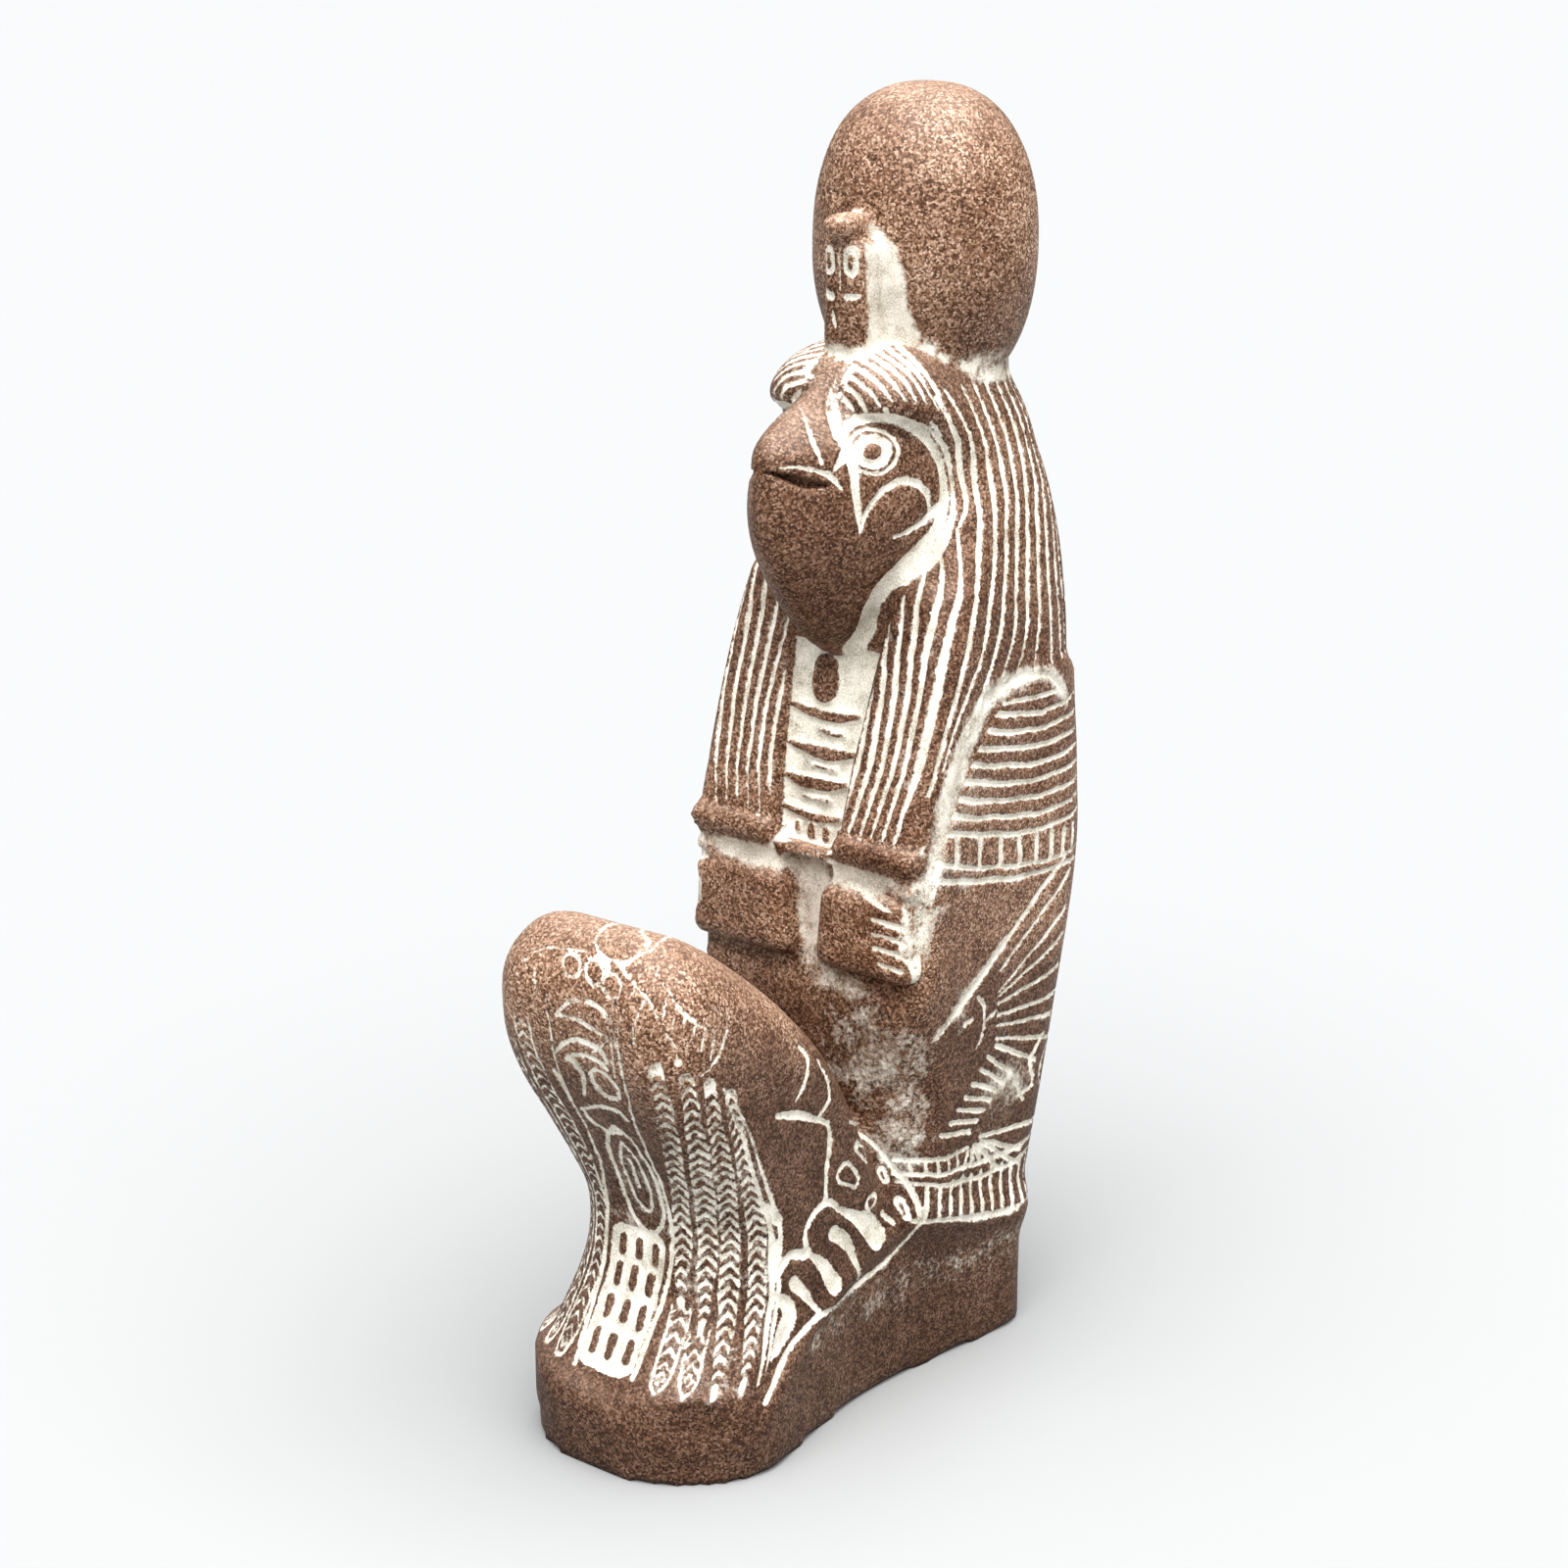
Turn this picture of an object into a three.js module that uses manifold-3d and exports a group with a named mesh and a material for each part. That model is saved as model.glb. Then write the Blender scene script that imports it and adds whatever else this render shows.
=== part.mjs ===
import * as THREE from "three";
import { mergeVertices } from "three/addons/utils/BufferGeometryUtils.js";
import Module from "manifold-3d";

// A squatting falcon-headed figure carved from one block of reddish stone, in millimetres, +Z up.
// It faces -Y and stands on the flat underside of its foot slab.
//
// The block is one smooth signed field: negative inside the stone, zero on its surface. Each form
// of the figure is a short function of the field, and rounded joins run them into one surface.

// Overall sizes
const HEIGHT = 193.5;
const BODY_WIDTH = 44.4;
const BODY_DEPTH = 101;

// Foot slab
const FOOT_LENGTH = 83.4;
const FOOT_WIDTH = 40.8;
const TOE_HEIGHT = 11;
const HEEL_ROUNDING = 8;

// Sun disc and the rearing cobra in front of it
const DISC_WIDTH = 34;
const DISC_DEPTH = 31.6;
const DISC_HEIGHT = 48;
const COBRA_WIDTH = 7.8;
const COBRA_HEIGHT = 17.6;

// Wig ends, cuffs and hands
const LAPPET_GAP = 12.6;
const CUFF_HEIGHT = 3.6;
const FIST_HEIGHT = 13.2;
const FIST_GAP = 6.4;

// Raised knees
const KNEE_HEIGHT = 83.4;

// Edge of the cells that the field is turned into faces with
const CELL = 3.6;

// The profiles below are written for a figure of this width, depth and height, with knees this
// high. Changing an overall size stretches them, and the sizes above keep their own millimetres.
const DRAWN = { width: 44.4, depth: 101, height: 193.5, knees: 83.4 };
const across = BODY_WIDTH / DRAWN.width;
const along = BODY_DEPTH / DRAWN.depth;
const up = HEIGHT / DRAWN.height;

/** A smooth curve through (knots, values), flat outside them. */
function profile(knots, values) {
  const last = knots.length - 1;
  const slope = (i) => (values[i + 1] - values[i]) / (knots[i + 1] - knots[i]);
  const tangents = knots.map((_, i) => {
    if (i === 0) return slope(0);
    if (i === last) return slope(last - 1);
    const before = knots[i] - knots[i - 1];
    const after = knots[i + 1] - knots[i];
    return (slope(i - 1) * after + slope(i) * before) / (before + after);
  });
  return (at) => {
    const t = THREE.MathUtils.clamp(at, knots[0], knots[last]);
    let i = 0;
    while (i < last - 1 && t > knots[i + 1]) i += 1;
    const span = knots[i + 1] - knots[i];
    const u = (t - knots[i]) / span;
    const v = 1 - u;
    return (1 + 2 * u) * v * v * values[i] + u * v * v * span * tangents[i]
      + u * u * (3 - 2 * u) * values[i + 1] - u * u * v * span * tangents[i + 1];
  };
}

/** What two forms share, with an edge of radius r. */
function meet(a, b, r) {
  return Math.min(Math.max(a, b), -r) + Math.hypot(Math.max(a + r, 0), Math.max(b + r, 0));
}

/** Two forms run into one, with a fillet of radius r. */
function join(a, b, r) {
  return Math.max(Math.min(a, b), r) - Math.hypot(Math.max(r - a, 0), Math.max(r - b, 0));
}

/** From 0 to 1 as t goes from one value to the other. */
function ramp(t, from, to) {
  return THREE.MathUtils.clamp((t - from) / (to - from), 0, 1);
}

// The toes are this far in front of the middle of the lap
const TOE_FRONT = -39.4;

// The lower edge of the carved body above the foot slab, by depth
const TOE = TOE_HEIGHT / up;
const hem = profile(
  [-40, -30, -21, -12, 1, 14, 26, 37, 46],
  [0.5, 0.8, 1.4, 5.6, 10.3, 13.6, 10.6, 7.4, 6.6].map((rise) => TOE + rise),
);

/** The foot slab: blunt faceted toes, a slight waist, and a heel narrower than the hips over it. */
const slabHalf = profile(
  [-30, -22, -14, 0, 16, 28, 38, 46],
  [1, 0.99, 0.912, 0.814, 0.843, 0.922, 0.98, 0.98].map((share) => (share * FOOT_WIDTH) / 2 / across),
);
function footSlab(x, y, z) {
  const back = TOE_FRONT + FOOT_LENGTH / along;
  // the block is cut a little fuller on its right side than on its left
  const [corner, bulge] = x < 0 ? [35.5, 0.4] : [34.4, 0];
  const toes = meet(TOE_FRONT - y, 0.7 * Math.abs(x) - 0.714 * y - corner, 4);
  const sides = meet(toes, Math.abs(x) - slabHalf(y) - bulge, 4);
  const plan = meet(sides, y - back, HEEL_ROUNDING);
  // the top rises from the toes and stays inside the body, with one long facet over the left toes
  const underBody = hem(y) + 3;
  const top = z - Math.min(underBody, TOE + 0.45 * (y - TOE_FRONT));
  const chamfer = 0.42 * x - 0.5 * y + 0.757 * (z - TOE) - 20.3;
  return meet(plan, meet(top, chamfer, 3), 1.6);
}

/** The raised knees and hollow shins, one block with a rounded top that falls back to the lap. */
const LEG_STATIONS = [11, 15, 19, 24, 30, 36, 43, 50, 58, 65, 72, 80];
const shinFront = profile(
  LEG_STATIONS,
  [-38.4, -36.2, -33.8, -31, -29.1, -28.7, -30.9, -34.6, -39.2, -42, -43.2, -43.2],
);
const legHalf = profile(
  LEG_STATIONS,
  [19.3, 18.7, 18.3, 17.6, 17.2, 17.2, 17.4, 17.7, 18.1, 18.4, 18.4, 18.2],
);
const shinEdge = profile(LEG_STATIONS, [9, 12, 13, 13, 12.5, 11.5, 9.5, 8.5, 8, 8, 8.5, 9]);
const thighTop = profile(
  [-44, -37, -30, -21, -11, -3, 3, 8, 13],
  [1, 1, 0.97, 0.896, 0.789, 0.679, 0.566, 0.45, 0.324].map((share) => (share * KNEE_HEIGHT) / up),
);
function legs(x, y, z) {
  const level = (z * up * DRAWN.knees) / KNEE_HEIGHT;
  const front = meet((shinFront(level) - y) * 0.93, (z - thighTop(y)) * 0.75, 9);
  const block = meet(Math.abs(x) - legHalf(level), front, shinEdge(level) + 2 * ramp(level, 60, 80));
  const insideTorso = Math.max(block, y - 30);
  const intoSlab = 7 * ramp(y, -20, -25);
  return meet(insideTorso, hem(y) - intoSlab - z, 1.5);
}

/** Hips and back, and the upper arms, which end in an arch on each side of the wig. */
const TORSO_STATIONS = [16, 30, 46, 60, 66, 78, 92, 104];
const torsoHalf = profile(TORSO_STATIONS, [19.6, 20.2, 20.8, 21.3, 21.6, 22.2, 22, 21.7]);
const torsoFront = profile(TORSO_STATIONS, [8, 7.5, 8, 9.2, 10.6, 11, 12.2, 15]);
const torsoBack = profile(TORSO_STATIONS, [47, 50, 53.2, 56, 56.9, 57.8, 57.3, 56.6]);
function torso(x, y, z) {
  const arch = { top: 108, drop: 21, middle: 42, half: 27 };
  const shoulders = arch.top - arch.drop * Math.abs((y - arch.middle) / arch.half) ** 2.4;
  const hipEdge = 2.5 + 9 * ramp(z, 62, 48);
  const front = meet(Math.abs(x) - torsoHalf(z), torsoFront(z) - y, hipEdge);
  const round = meet(front, y - torsoBack(z), 13);
  return meet(meet(round, (z - shoulders) * 0.6, 1), hem(y) - z, 1.8);
}

/** The chest and the wig over the head and shoulders, with a lobe over each brow. */
const WIG_STATIONS = [84, 96, 106, 114, 123, 132, 140, 145, 149, 153, 158];
const wigHalf = profile(WIG_STATIONS, [21.2, 21.3, 21.2, 20.9, 20.1, 19, 17.4, 15.9, 14.4, 12.2, 8]);
const wigFront = profile(WIG_STATIONS, [11.2, 12.8, 15.2, 17.2, 18.8, 20.6, 20.6, 17, 13, 13.8, 19.5]);
const wigBack = profile(WIG_STATIONS, [56.6, 56.6, 56.3, 56, 55.6, 54.4, 52.4, 51, 49.3, 47, 43]);
const wigEdge = profile(WIG_STATIONS, [3, 3, 3.2, 4.2, 6.5, 10, 12, 10, 8, 7, 6]);
const WIG_TOP = 157;
function wig(x, y, z) {
  const front = meet(Math.abs(x) - wigHalf(z), (wigFront(z) - y) * 0.9, wigEdge(z));
  const backEdge = 14 - 3 * ramp(z, 140, 155);
  const round = meet(front, (y - wigBack(z)) * 0.95, backEdge);
  const waist = 80;
  return meet(meet(round, z - WIG_TOP, 3), waist - z, 1);
}

// The cuffs, with the wig ends over them, start at this level, and the fists hang from the next
const CUFF_BOTTOM = 82.5;
const FIST_TOP = 78.5;

/** The two wig ends that hang down the chest to the cuffs. */
const lappetFront = profile([80, 84, 95, 104, 113, 122], [7.8, 8, 10.6, 13.2, 15.7, 17.6]);
const gapHalf = LAPPET_GAP / 2 / across;
const lappetInner = profile([84, 100, 114, 122], [0, 0.6, 1.9, 3.2].map((flare) => gapHalf + flare));
function lappets(x, y, z) {
  const outer = meet(Math.abs(x) - wigHalf(z), (lappetFront(z) - y) * 0.97, wigEdge(z));
  const strip = Math.max(meet(lappetInner(z) - Math.abs(x), outer, 1.6), y - 24);
  const jaw = 124;
  return meet(meet(strip, CUFF_BOTTOM - z, 1), z - jaw, 3);
}

/** A block of equal left and right halves between two widths and two depths, rounded in front. */
function pair(x, y, inner, outer, front, back, sideEdge, frontEdge) {
  const sides = meet(inner - Math.abs(x), Math.abs(x) - outer, sideEdge);
  return Math.max(meet(sides, front - y, frontEdge), y - back);
}

/** Cuffs under the wig ends, the wrists, and the clenched fists that hang below them. */
function arms(x, y, z) {
  const cuffMiddle = CUFF_BOTTOM + CUFF_HEIGHT / up / 2;
  const cuff = pair(x, y, gapHalf - 0.4, 22, 7.3, 14, 1, 1.2);
  const cuffs = meet(cuff, Math.abs(z - cuffMiddle) - CUFF_HEIGHT / up / 2, 1);
  const wristMiddle = (CUFF_BOTTOM + FIST_TOP) / 2;
  const wrists = meet(pair(x, y, 4.5, 21.2, 8.9, 16, 2, 1.5), Math.abs(z - wristMiddle) - 3.5, 1.5);
  const fistHalf = FIST_HEIGHT / up / 2;
  const above = z - (FIST_TOP - 2 * fistHalf);
  const fist = pair(x, y, FIST_GAP / 2 / across + 0.1 * above, 21.3 - 0.06 * above, 7.2, 18, 2.8, 2.6);
  const fists = meet(fist, Math.abs(z - FIST_TOP + fistHalf) - fistHalf, 2.2);
  return join(join(wrists, cuffs, 0.4), fists, 0.8);
}

/** The falcon's face: a ridged brow and beak over a deep jaw that narrows to the chin. */
const FACE_STATIONS = [111, 114, 118, 124, 130, 136, 140, 144, 147, 150, 156];
const faceFront = profile(FACE_STATIONS, [15.5, 11, 7, 2.6, -0.6, -1.9, -1.8, -1.2, 2.4, 8, 18]);
const faceHalf = profile(FACE_STATIONS, [2.6, 5, 8, 11.4, 13.6, 14.6, 14.6, 13.8, 10.8, 6.8, 4]);
const faceFullness = profile(FACE_STATIONS, [2.2, 2.2, 2.1, 1.9, 1.75, 1.6, 1.5, 1.45, 1.5, 1.6, 2]);
function face(x, y, z) {
  const rear = 30;
  const half = faceHalf(z);
  const depth = rear - faceFront(z);
  const power = faceFullness(z);
  const outline = (Math.abs(x) / half) ** power + (Math.max(rear - y, 0) / depth) ** power;
  const wedge = (outline ** (1 / power) - 1) * Math.min(half, depth) * 0.8;
  const chin = 110.6;
  return meet(meet(Math.max(wedge, y - rear - 4), z - WIG_TOP, 2), chin - z, 1.5);
}

/** The sun disc: a thick egg shape whose neck sinks into the top of the wig. */
function disc(x, y, z) {
  const rise = DISC_HEIGHT / up / 2;
  const level = (z - DRAWN.height + rise) / rise;
  const taper = 1 - 0.13 * THREE.MathUtils.clamp(-level, 0, 1.5) ** 2;
  const half = (DISC_WIDTH / 2 / across) * taper;
  const depth = (DISC_DEPTH / 2 / along) * taper;
  const middle = 37.3;
  const [plan, side] = [2.05, 2.35];
  const ring = ((Math.abs(x) / half) ** plan + (Math.abs(y - middle) / depth) ** plan) ** (1 / plan);
  const egg = (ring ** side + Math.abs(level) ** side) ** (1 / side) - 1;
  const neck = Math.max((ring - 0.8) * 13, z - 165, 150 - z);
  return Math.min(egg * 15, neck);
}

/** The rearing cobra against the front of the disc: a narrow hood with a small head on it. */
function cobra(x, y, z) {
  const half = COBRA_WIDTH / 2 / across;
  const height = COBRA_HEIGHT / up;
  const foot = 155;
  const hood = meet(meet(Math.abs(x) - half, 16.8 - y, 2.2), y - 30, 1);
  const cut = meet(hood, Math.abs(z - foot - height / 2) - height / 2, 2.5);
  const [headDepth, headHeight] = [4.2, 1.9];
  const headMiddle = foot + height + 1.6;
  const head = Math.hypot(x / (half * 0.7), (y - 18) / headDepth, (z - headMiddle) / headHeight) - 1;
  return join(cut, head * headHeight, 1);
}

/** The whole block, in drawn units. */
function figure(x, y, z) {
  let form = join(footSlab(x, y, z), legs(x, y, z), 2);
  form = join(form, torso(x, y, z), 5);
  form = join(form, wig(x, y, z), 1);
  form = join(form, lappets(x, y, z), 1);
  form = join(form, arms(x, y, z), 1.5);
  form = join(form, face(x, y, z), 3);
  form = join(form, disc(x, y, z), 2);
  return join(form, cobra(x, y, z), 2);
}

/** The same field over real millimetres. It reaches a little below the floor, where it is cut flat. */
const SPARE = 1.5 * CELL;
function stone(point) {
  return Math.max(figure(point.x / across, point.y / along, point.z / up), -SPARE - point.z);
}

/** Move a point along the field's slope until it lies on the surface, by at most a sixth of a cell. */
function settle(point, field) {
  const step = 0.05;
  const start = point.clone();
  for (let round = 0; round < 4; round += 1) {
    const here = field(point);
    const slope = new THREE.Vector3(
      field(point.clone().setX(point.x + step)) - here,
      field(point.clone().setY(point.y + step)) - here,
      field(point.clone().setZ(point.z + step)) - here,
    ).divideScalar(step);
    point.addScaledVector(slope, -here / Math.max(slope.lengthSq(), 0.05));
  }
  return start.add(point.sub(start).clampLength(0, CELL / 6));
}

// The twelve edges of a cell, each with its axis and the numbers of its two corners
const EDGES = [0, 1, 2].flatMap((axis) => [0, 1, 2, 3].map((side) => {
  const from = ((side & 1) << (axis + 1) % 3) | ((side >> 1) << (axis + 2) % 3);
  return { axis, from, to: from | (1 << axis) };
}));

// The six sides of a cell: the four edges around each, and the corner after each edge
const SIDES = [0, 1, 2].flatMap((axis) => [0, 1].map((level) => {
  const u = (axis + 1) % 3;
  const v = (axis + 2) % 3;
  const base = level << axis;
  return {
    ring: [4 * u + 2 * level, 4 * v + level + 2, 4 * u + 1 + 2 * level, 4 * v + level],
    corners: [base | (1 << u), base | (1 << u) | (1 << v), base | (1 << v), base],
  };
}));

/** The crossed edges of a cell, in groups that one sheet of the surface passes through. */
function sheets(values) {
  const crossed = EDGES.map(({ from, to }) => values[from] < 0 !== values[to] < 0);
  const group = EDGES.map((_, edge) => edge);
  const tie = (a, b) => {
    const [kept, dropped] = [group[a], group[b]];
    group.forEach((name, edge) => {
      if (name === dropped) group[edge] = kept;
    });
  };
  SIDES.forEach(({ ring, corners }) => {
    const cut = ring.filter((edge) => crossed[edge]);
    if (cut.length === 2) tie(cut[0], cut[1]);
    if (cut.length !== 4) return;
    corners.forEach((corner, at) => {
      if (values[corner] < 0) tie(ring[at], ring[(at + 1) % 4]);
    });
  });
  const cut = EDGES.map((_, edge) => edge).filter((edge) => crossed[edge]);
  const names = new Set(cut.map((edge) => group[edge]));
  return [...names].map((name) => cut.filter((edge) => group[edge] === name));
}

/** One closed surface around the inside of a field: a corner for each sheet in each cell it crosses. */
function surface(field, box, cell) {
  const counts = box.getSize(new THREE.Vector3()).toArray().map((length) => Math.ceil(length / cell) + 1);
  const strides = [1, counts[0], counts[0] * counts[1]];
  const samples = new Float64Array(counts[0] * counts[1] * counts[2]);
  const place = (i, j, k) => new THREE.Vector3(i, j, k).multiplyScalar(cell).add(box.min);
  const shift = (corner) => [0, 1, 2].reduce((sum, axis) => sum + ((corner >> axis) & 1) * strides[axis], 0);
  const shifts = [0, 1, 2, 3, 4, 5, 6, 7].map(shift);
  for (let k = 0; k < counts[2]; k += 1) {
    for (let j = 0; j < counts[1]; j += 1) {
      for (let i = 0; i < counts[0]; i += 1) {
        samples[i + j * strides[1] + k * strides[2]] = field(place(i, j, k));
      }
    }
  }
  const corners = [];
  const cornerOf = new Map();
  for (let k = 0; k < counts[2] - 1; k += 1) {
    for (let j = 0; j < counts[1] - 1; j += 1) {
      for (let i = 0; i < counts[0] - 1; i += 1) {
        const base = i + j * strides[1] + k * strides[2];
        const values = shifts.map((offset) => samples[base + offset]);
        sheets(values).forEach((edges) => {
          const middle = new THREE.Vector3();
          edges.forEach((edge) => {
            const { axis, from, to } = EDGES[edge];
            const crossing = new THREE.Vector3(i + (from & 1), j + ((from >> 1) & 1), k + (from >> 2));
            const part = values[from] / (values[from] - values[to]);
            middle.add(crossing.setComponent(axis, crossing.getComponent(axis) + part));
            cornerOf.set(base * EDGES.length + edge, corners.length);
          });
          middle.divideScalar(edges.length);
          corners.push(settle(place(middle.x, middle.y, middle.z), field));
        });
      }
    }
  }
  const faces = [];
  for (let at = 0; at < samples.length; at += 1) {
    for (let axis = 0; axis < 3; axis += 1) {
      const next = at + strides[axis];
      if (next >= samples.length || samples[at] < 0 === samples[next] < 0) continue;
      const u = strides[(axis + 1) % 3];
      const v = strides[(axis + 2) % 3];
      const ring = [[1, 1], [0, 1], [0, 0], [1, 0]].map(([p, q]) => {
        const base = at - p * u - q * v;
        return cornerOf.get(base * EDGES.length + 4 * axis + 2 * q + p);
      });
      if (samples[at] >= 0) ring.reverse();
      const [a, b, c, d] = ring.map((corner) => corners[corner]);
      if (b.distanceTo(d) < a.distanceTo(c)) ring.push(ring.shift());
      faces.push(ring[0], ring[1], ring[2], ring[0], ring[2], ring[3]);
    }
  }
  const geometry = new THREE.BufferGeometry().setFromPoints(corners);
  geometry.setIndex(faces);
  return geometry;
}

const wasm = await Module();
wasm.setup();

/** A closed geometry as a solid that can be cut. */
function solid(geometry) {
  return new wasm.Manifold(new wasm.Mesh({
    numProp: 3,
    vertProperties: Float32Array.from(geometry.getAttribute("position").array),
    triVerts: Uint32Array.from(geometry.getIndex().array),
  }));
}

/** The faces of a solid as a geometry. */
function faces(cut) {
  const mesh = cut.getMesh();
  const geometry = new THREE.BufferGeometry();
  geometry.setAttribute("position", new THREE.BufferAttribute(mesh.vertProperties, 3));
  geometry.setIndex(new THREE.BufferAttribute(mesh.triVerts, 1));
  return geometry;
}

// Room for the field on every side of the block, with a grid level at the floor
const margin = 2 * CELL;
const halfRoom = Math.max(BODY_WIDTH, FOOT_WIDTH) / 2 + margin;
const [kneeFront, backRear] = [-44, 58];
const rearRoom = Math.max(backRear * along, TOE_FRONT * along + FOOT_LENGTH) + margin;
const room = new THREE.Box3(
  new THREE.Vector3(-halfRoom, kneeFront * along - margin, -3 * CELL),
  new THREE.Vector3(halfRoom, rearRoom, HEIGHT + margin),
);

// The underside is cut off flat at the floor
const below = new THREE.BoxGeometry(4 * halfRoom, 4 * rearRoom, 2 * margin + SPARE);
below.translate(0, 0, -margin - SPARE / 2);
below.deleteAttribute("normal");
below.deleteAttribute("uv");
const block = solid(surface(stone, room, CELL)).subtract(solid(mergeVertices(below)));
const geometry = faces(block);
geometry.computeVertexNormals();
geometry.computeBoundingBox();
const middle = geometry.boundingBox.getCenter(new THREE.Vector3());

const stoneColour = new THREE.MeshStandardMaterial({ color: "#8a5440", roughness: 0.85, metalness: 0 });
const figureMesh = new THREE.Mesh(geometry, stoneColour);
figureMesh.name = "figure";
figureMesh.position.set(-middle.x, -middle.y, 0);

const group = new THREE.Group();
group.add(figureMesh);

export default group;
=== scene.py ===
import math

import bpy
import numpy as np
from mathutils import Matrix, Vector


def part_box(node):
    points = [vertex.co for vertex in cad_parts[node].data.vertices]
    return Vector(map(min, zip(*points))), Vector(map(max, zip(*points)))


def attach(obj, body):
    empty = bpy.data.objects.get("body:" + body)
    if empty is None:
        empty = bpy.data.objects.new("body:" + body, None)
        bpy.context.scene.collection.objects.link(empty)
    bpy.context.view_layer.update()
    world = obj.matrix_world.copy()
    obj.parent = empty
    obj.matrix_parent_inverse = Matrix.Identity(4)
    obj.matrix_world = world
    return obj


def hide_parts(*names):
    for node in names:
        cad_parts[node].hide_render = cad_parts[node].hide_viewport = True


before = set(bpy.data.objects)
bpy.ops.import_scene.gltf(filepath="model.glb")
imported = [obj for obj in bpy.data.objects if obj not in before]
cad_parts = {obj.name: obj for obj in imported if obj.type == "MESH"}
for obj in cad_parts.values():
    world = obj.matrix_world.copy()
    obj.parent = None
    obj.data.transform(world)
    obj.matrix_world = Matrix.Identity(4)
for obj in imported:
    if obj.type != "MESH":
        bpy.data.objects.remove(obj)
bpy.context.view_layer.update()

# The block
# One squatting falcon-headed figure, sawn and ground from a single piece of red-brown grainy stone.
# Every form below is a field in millimetres, negative inside; joining the fields rounds the creases.
# +Z is up, the figure faces -Y, and z = 0 is the flat underside that it stands on.


def profile(knots, values):
    """A smooth curve through (knot, value): cubic pieces, with the mean slope of both sides at a knot."""
    k, v = np.array(knots, float), np.array(values, float)
    h = np.diff(k)
    s = np.diff(v) / h
    m = np.r_[s[0], (s[:-1] * h[1:] + s[1:] * h[:-1]) / (h[1:] + h[:-1]), s[-1]]

    def at(t):
        t = np.clip(t, k[0], k[-1])
        i = np.clip(np.searchsorted(k, t, side="right") - 1, 0, len(h) - 1)
        u = (t - k[i]) / h[i]
        w = 1 - u
        return ((1 + 2 * u) * w * w * v[i] + u * w * w * h[i] * m[i]
                + u * u * (3 - 2 * u) * v[i + 1] - u * u * w * h[i] * m[i + 1])
    return at


def meet(a, b, r):
    """What two forms share, its edge rounded to radius r: min(max(a, b), -r) + hypot(a + r, b + r), where
    a + r and b + r count as 0 when they are negative."""
    return np.minimum(np.maximum(a, b), -r) + np.hypot(np.maximum(a + r, 0), np.maximum(b + r, 0))


def join(a, b, r):
    """Two forms run into one, with a fillet of radius r: the same rule with the signs turned."""
    return -meet(-a, -b, r)


def ramp(t, start, end):
    """From 0 to 1 as t goes from start to end."""
    return np.clip((t - start) / (end - start), 0, 1)


# The lower edge of the carved body above the foot slab, by depth
hem = profile((-40, -30, -21, -12, 1, 14, 26, 37, 46),
              (11.5, 11.8, 12.4, 16.6, 21.3, 24.6, 21.6, 18.4, 17.6))

# Foot slab: blunt faceted toes, a slight waist, and a heel narrower than the hips over it
TOE_FRONT = -39.4
slab_half = profile((-30, -22, -14, 0, 16, 28, 38, 46), (20.4, 20.2, 18.6, 16.6, 17.2, 18.8, 20, 20))


def toes(x, y):
    """The blunt front in plan: straight across, with each corner cut off along 0.7 |x| - 0.714 y."""
    return meet(TOE_FRONT - y, 0.7 * np.abs(x) - 0.714 * y - np.where(x < 0, 35.5, 34.4), 4)


def foot_slab(x, y, z):
    """Plan: toes(x, y), sides at slab_half(y), heel at y = 44. Top: the toe bevel."""
    plan = meet(meet(toes(x, y), np.abs(x) - slab_half(y) - np.where(x < 0, 0.4, 0), 4), y - 44, 8)
    top = z - np.minimum(hem(y) + 3, 11 + 0.45 * (y - TOE_FRONT))
    bevel = 0.42 * x - 0.5 * y + 0.757 * z - 28.6
    return meet(plan, meet(top, bevel, 3), 1.6)


# Raised knees and hollow shins in one block, whose rounded top falls back to the lap
LEG_LEVELS = (11, 15, 19, 24, 30, 36, 43, 50, 58, 65, 72, 80)
shin_front = profile(LEG_LEVELS, (-38.4, -36.2, -33.8, -31, -29.1, -28.7,
                                  -30.9, -34.6, -39.2, -42, -43.2, -43.2))
leg_half = profile(LEG_LEVELS, (19.3, 18.7, 18.3, 17.6, 17.2, 17.2, 17.4, 17.7, 18.1, 18.4, 18.4, 18.2))
shin_edge = profile(LEG_LEVELS, (9, 12, 13, 13, 12.5, 11.5, 9.5, 8.5, 8, 8, 8.5, 9))
thigh_top = profile((-44, -37, -30, -21, -11, -3, 3, 8, 13),
                    (83.4, 83.4, 80.9, 74.7, 65.8, 56.6, 47.2, 37.5, 27))


def legs(x, y, z):
    """Between the sides at leg_half(z), behind shin_front(z) and under thigh_top(y), all edges rounded."""
    front = meet((shin_front(z) - y) * 0.93, (z - thigh_top(y)) * 0.75, 9)
    block = meet(np.abs(x) - leg_half(z), front, shin_edge(z) + 2 * ramp(z, 60, 80))
    block = np.maximum(block, toes(x, y) - 0.8 * np.maximum(z - 12.5, 0))
    return meet(np.maximum(block, y - 30), hem(y) - 7 * ramp(y, -20, -25) - z, 1.5)


# Hips, back and upper arms, which end in an arch on each side of the wig
TORSO_LEVELS = (16, 30, 46, 60, 66, 78, 92, 104)
torso_half = profile(TORSO_LEVELS, (19.6, 20.2, 20.8, 21.3, 21.6, 22.2, 22, 21.7))
torso_front = profile(TORSO_LEVELS, (8, 7.5, 8, 9.2, 10.6, 11, 12.2, 15))
torso_back = profile(TORSO_LEVELS, (47, 50, 53.2, 56, 56.9, 57.8, 57.3, 56.6))


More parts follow.
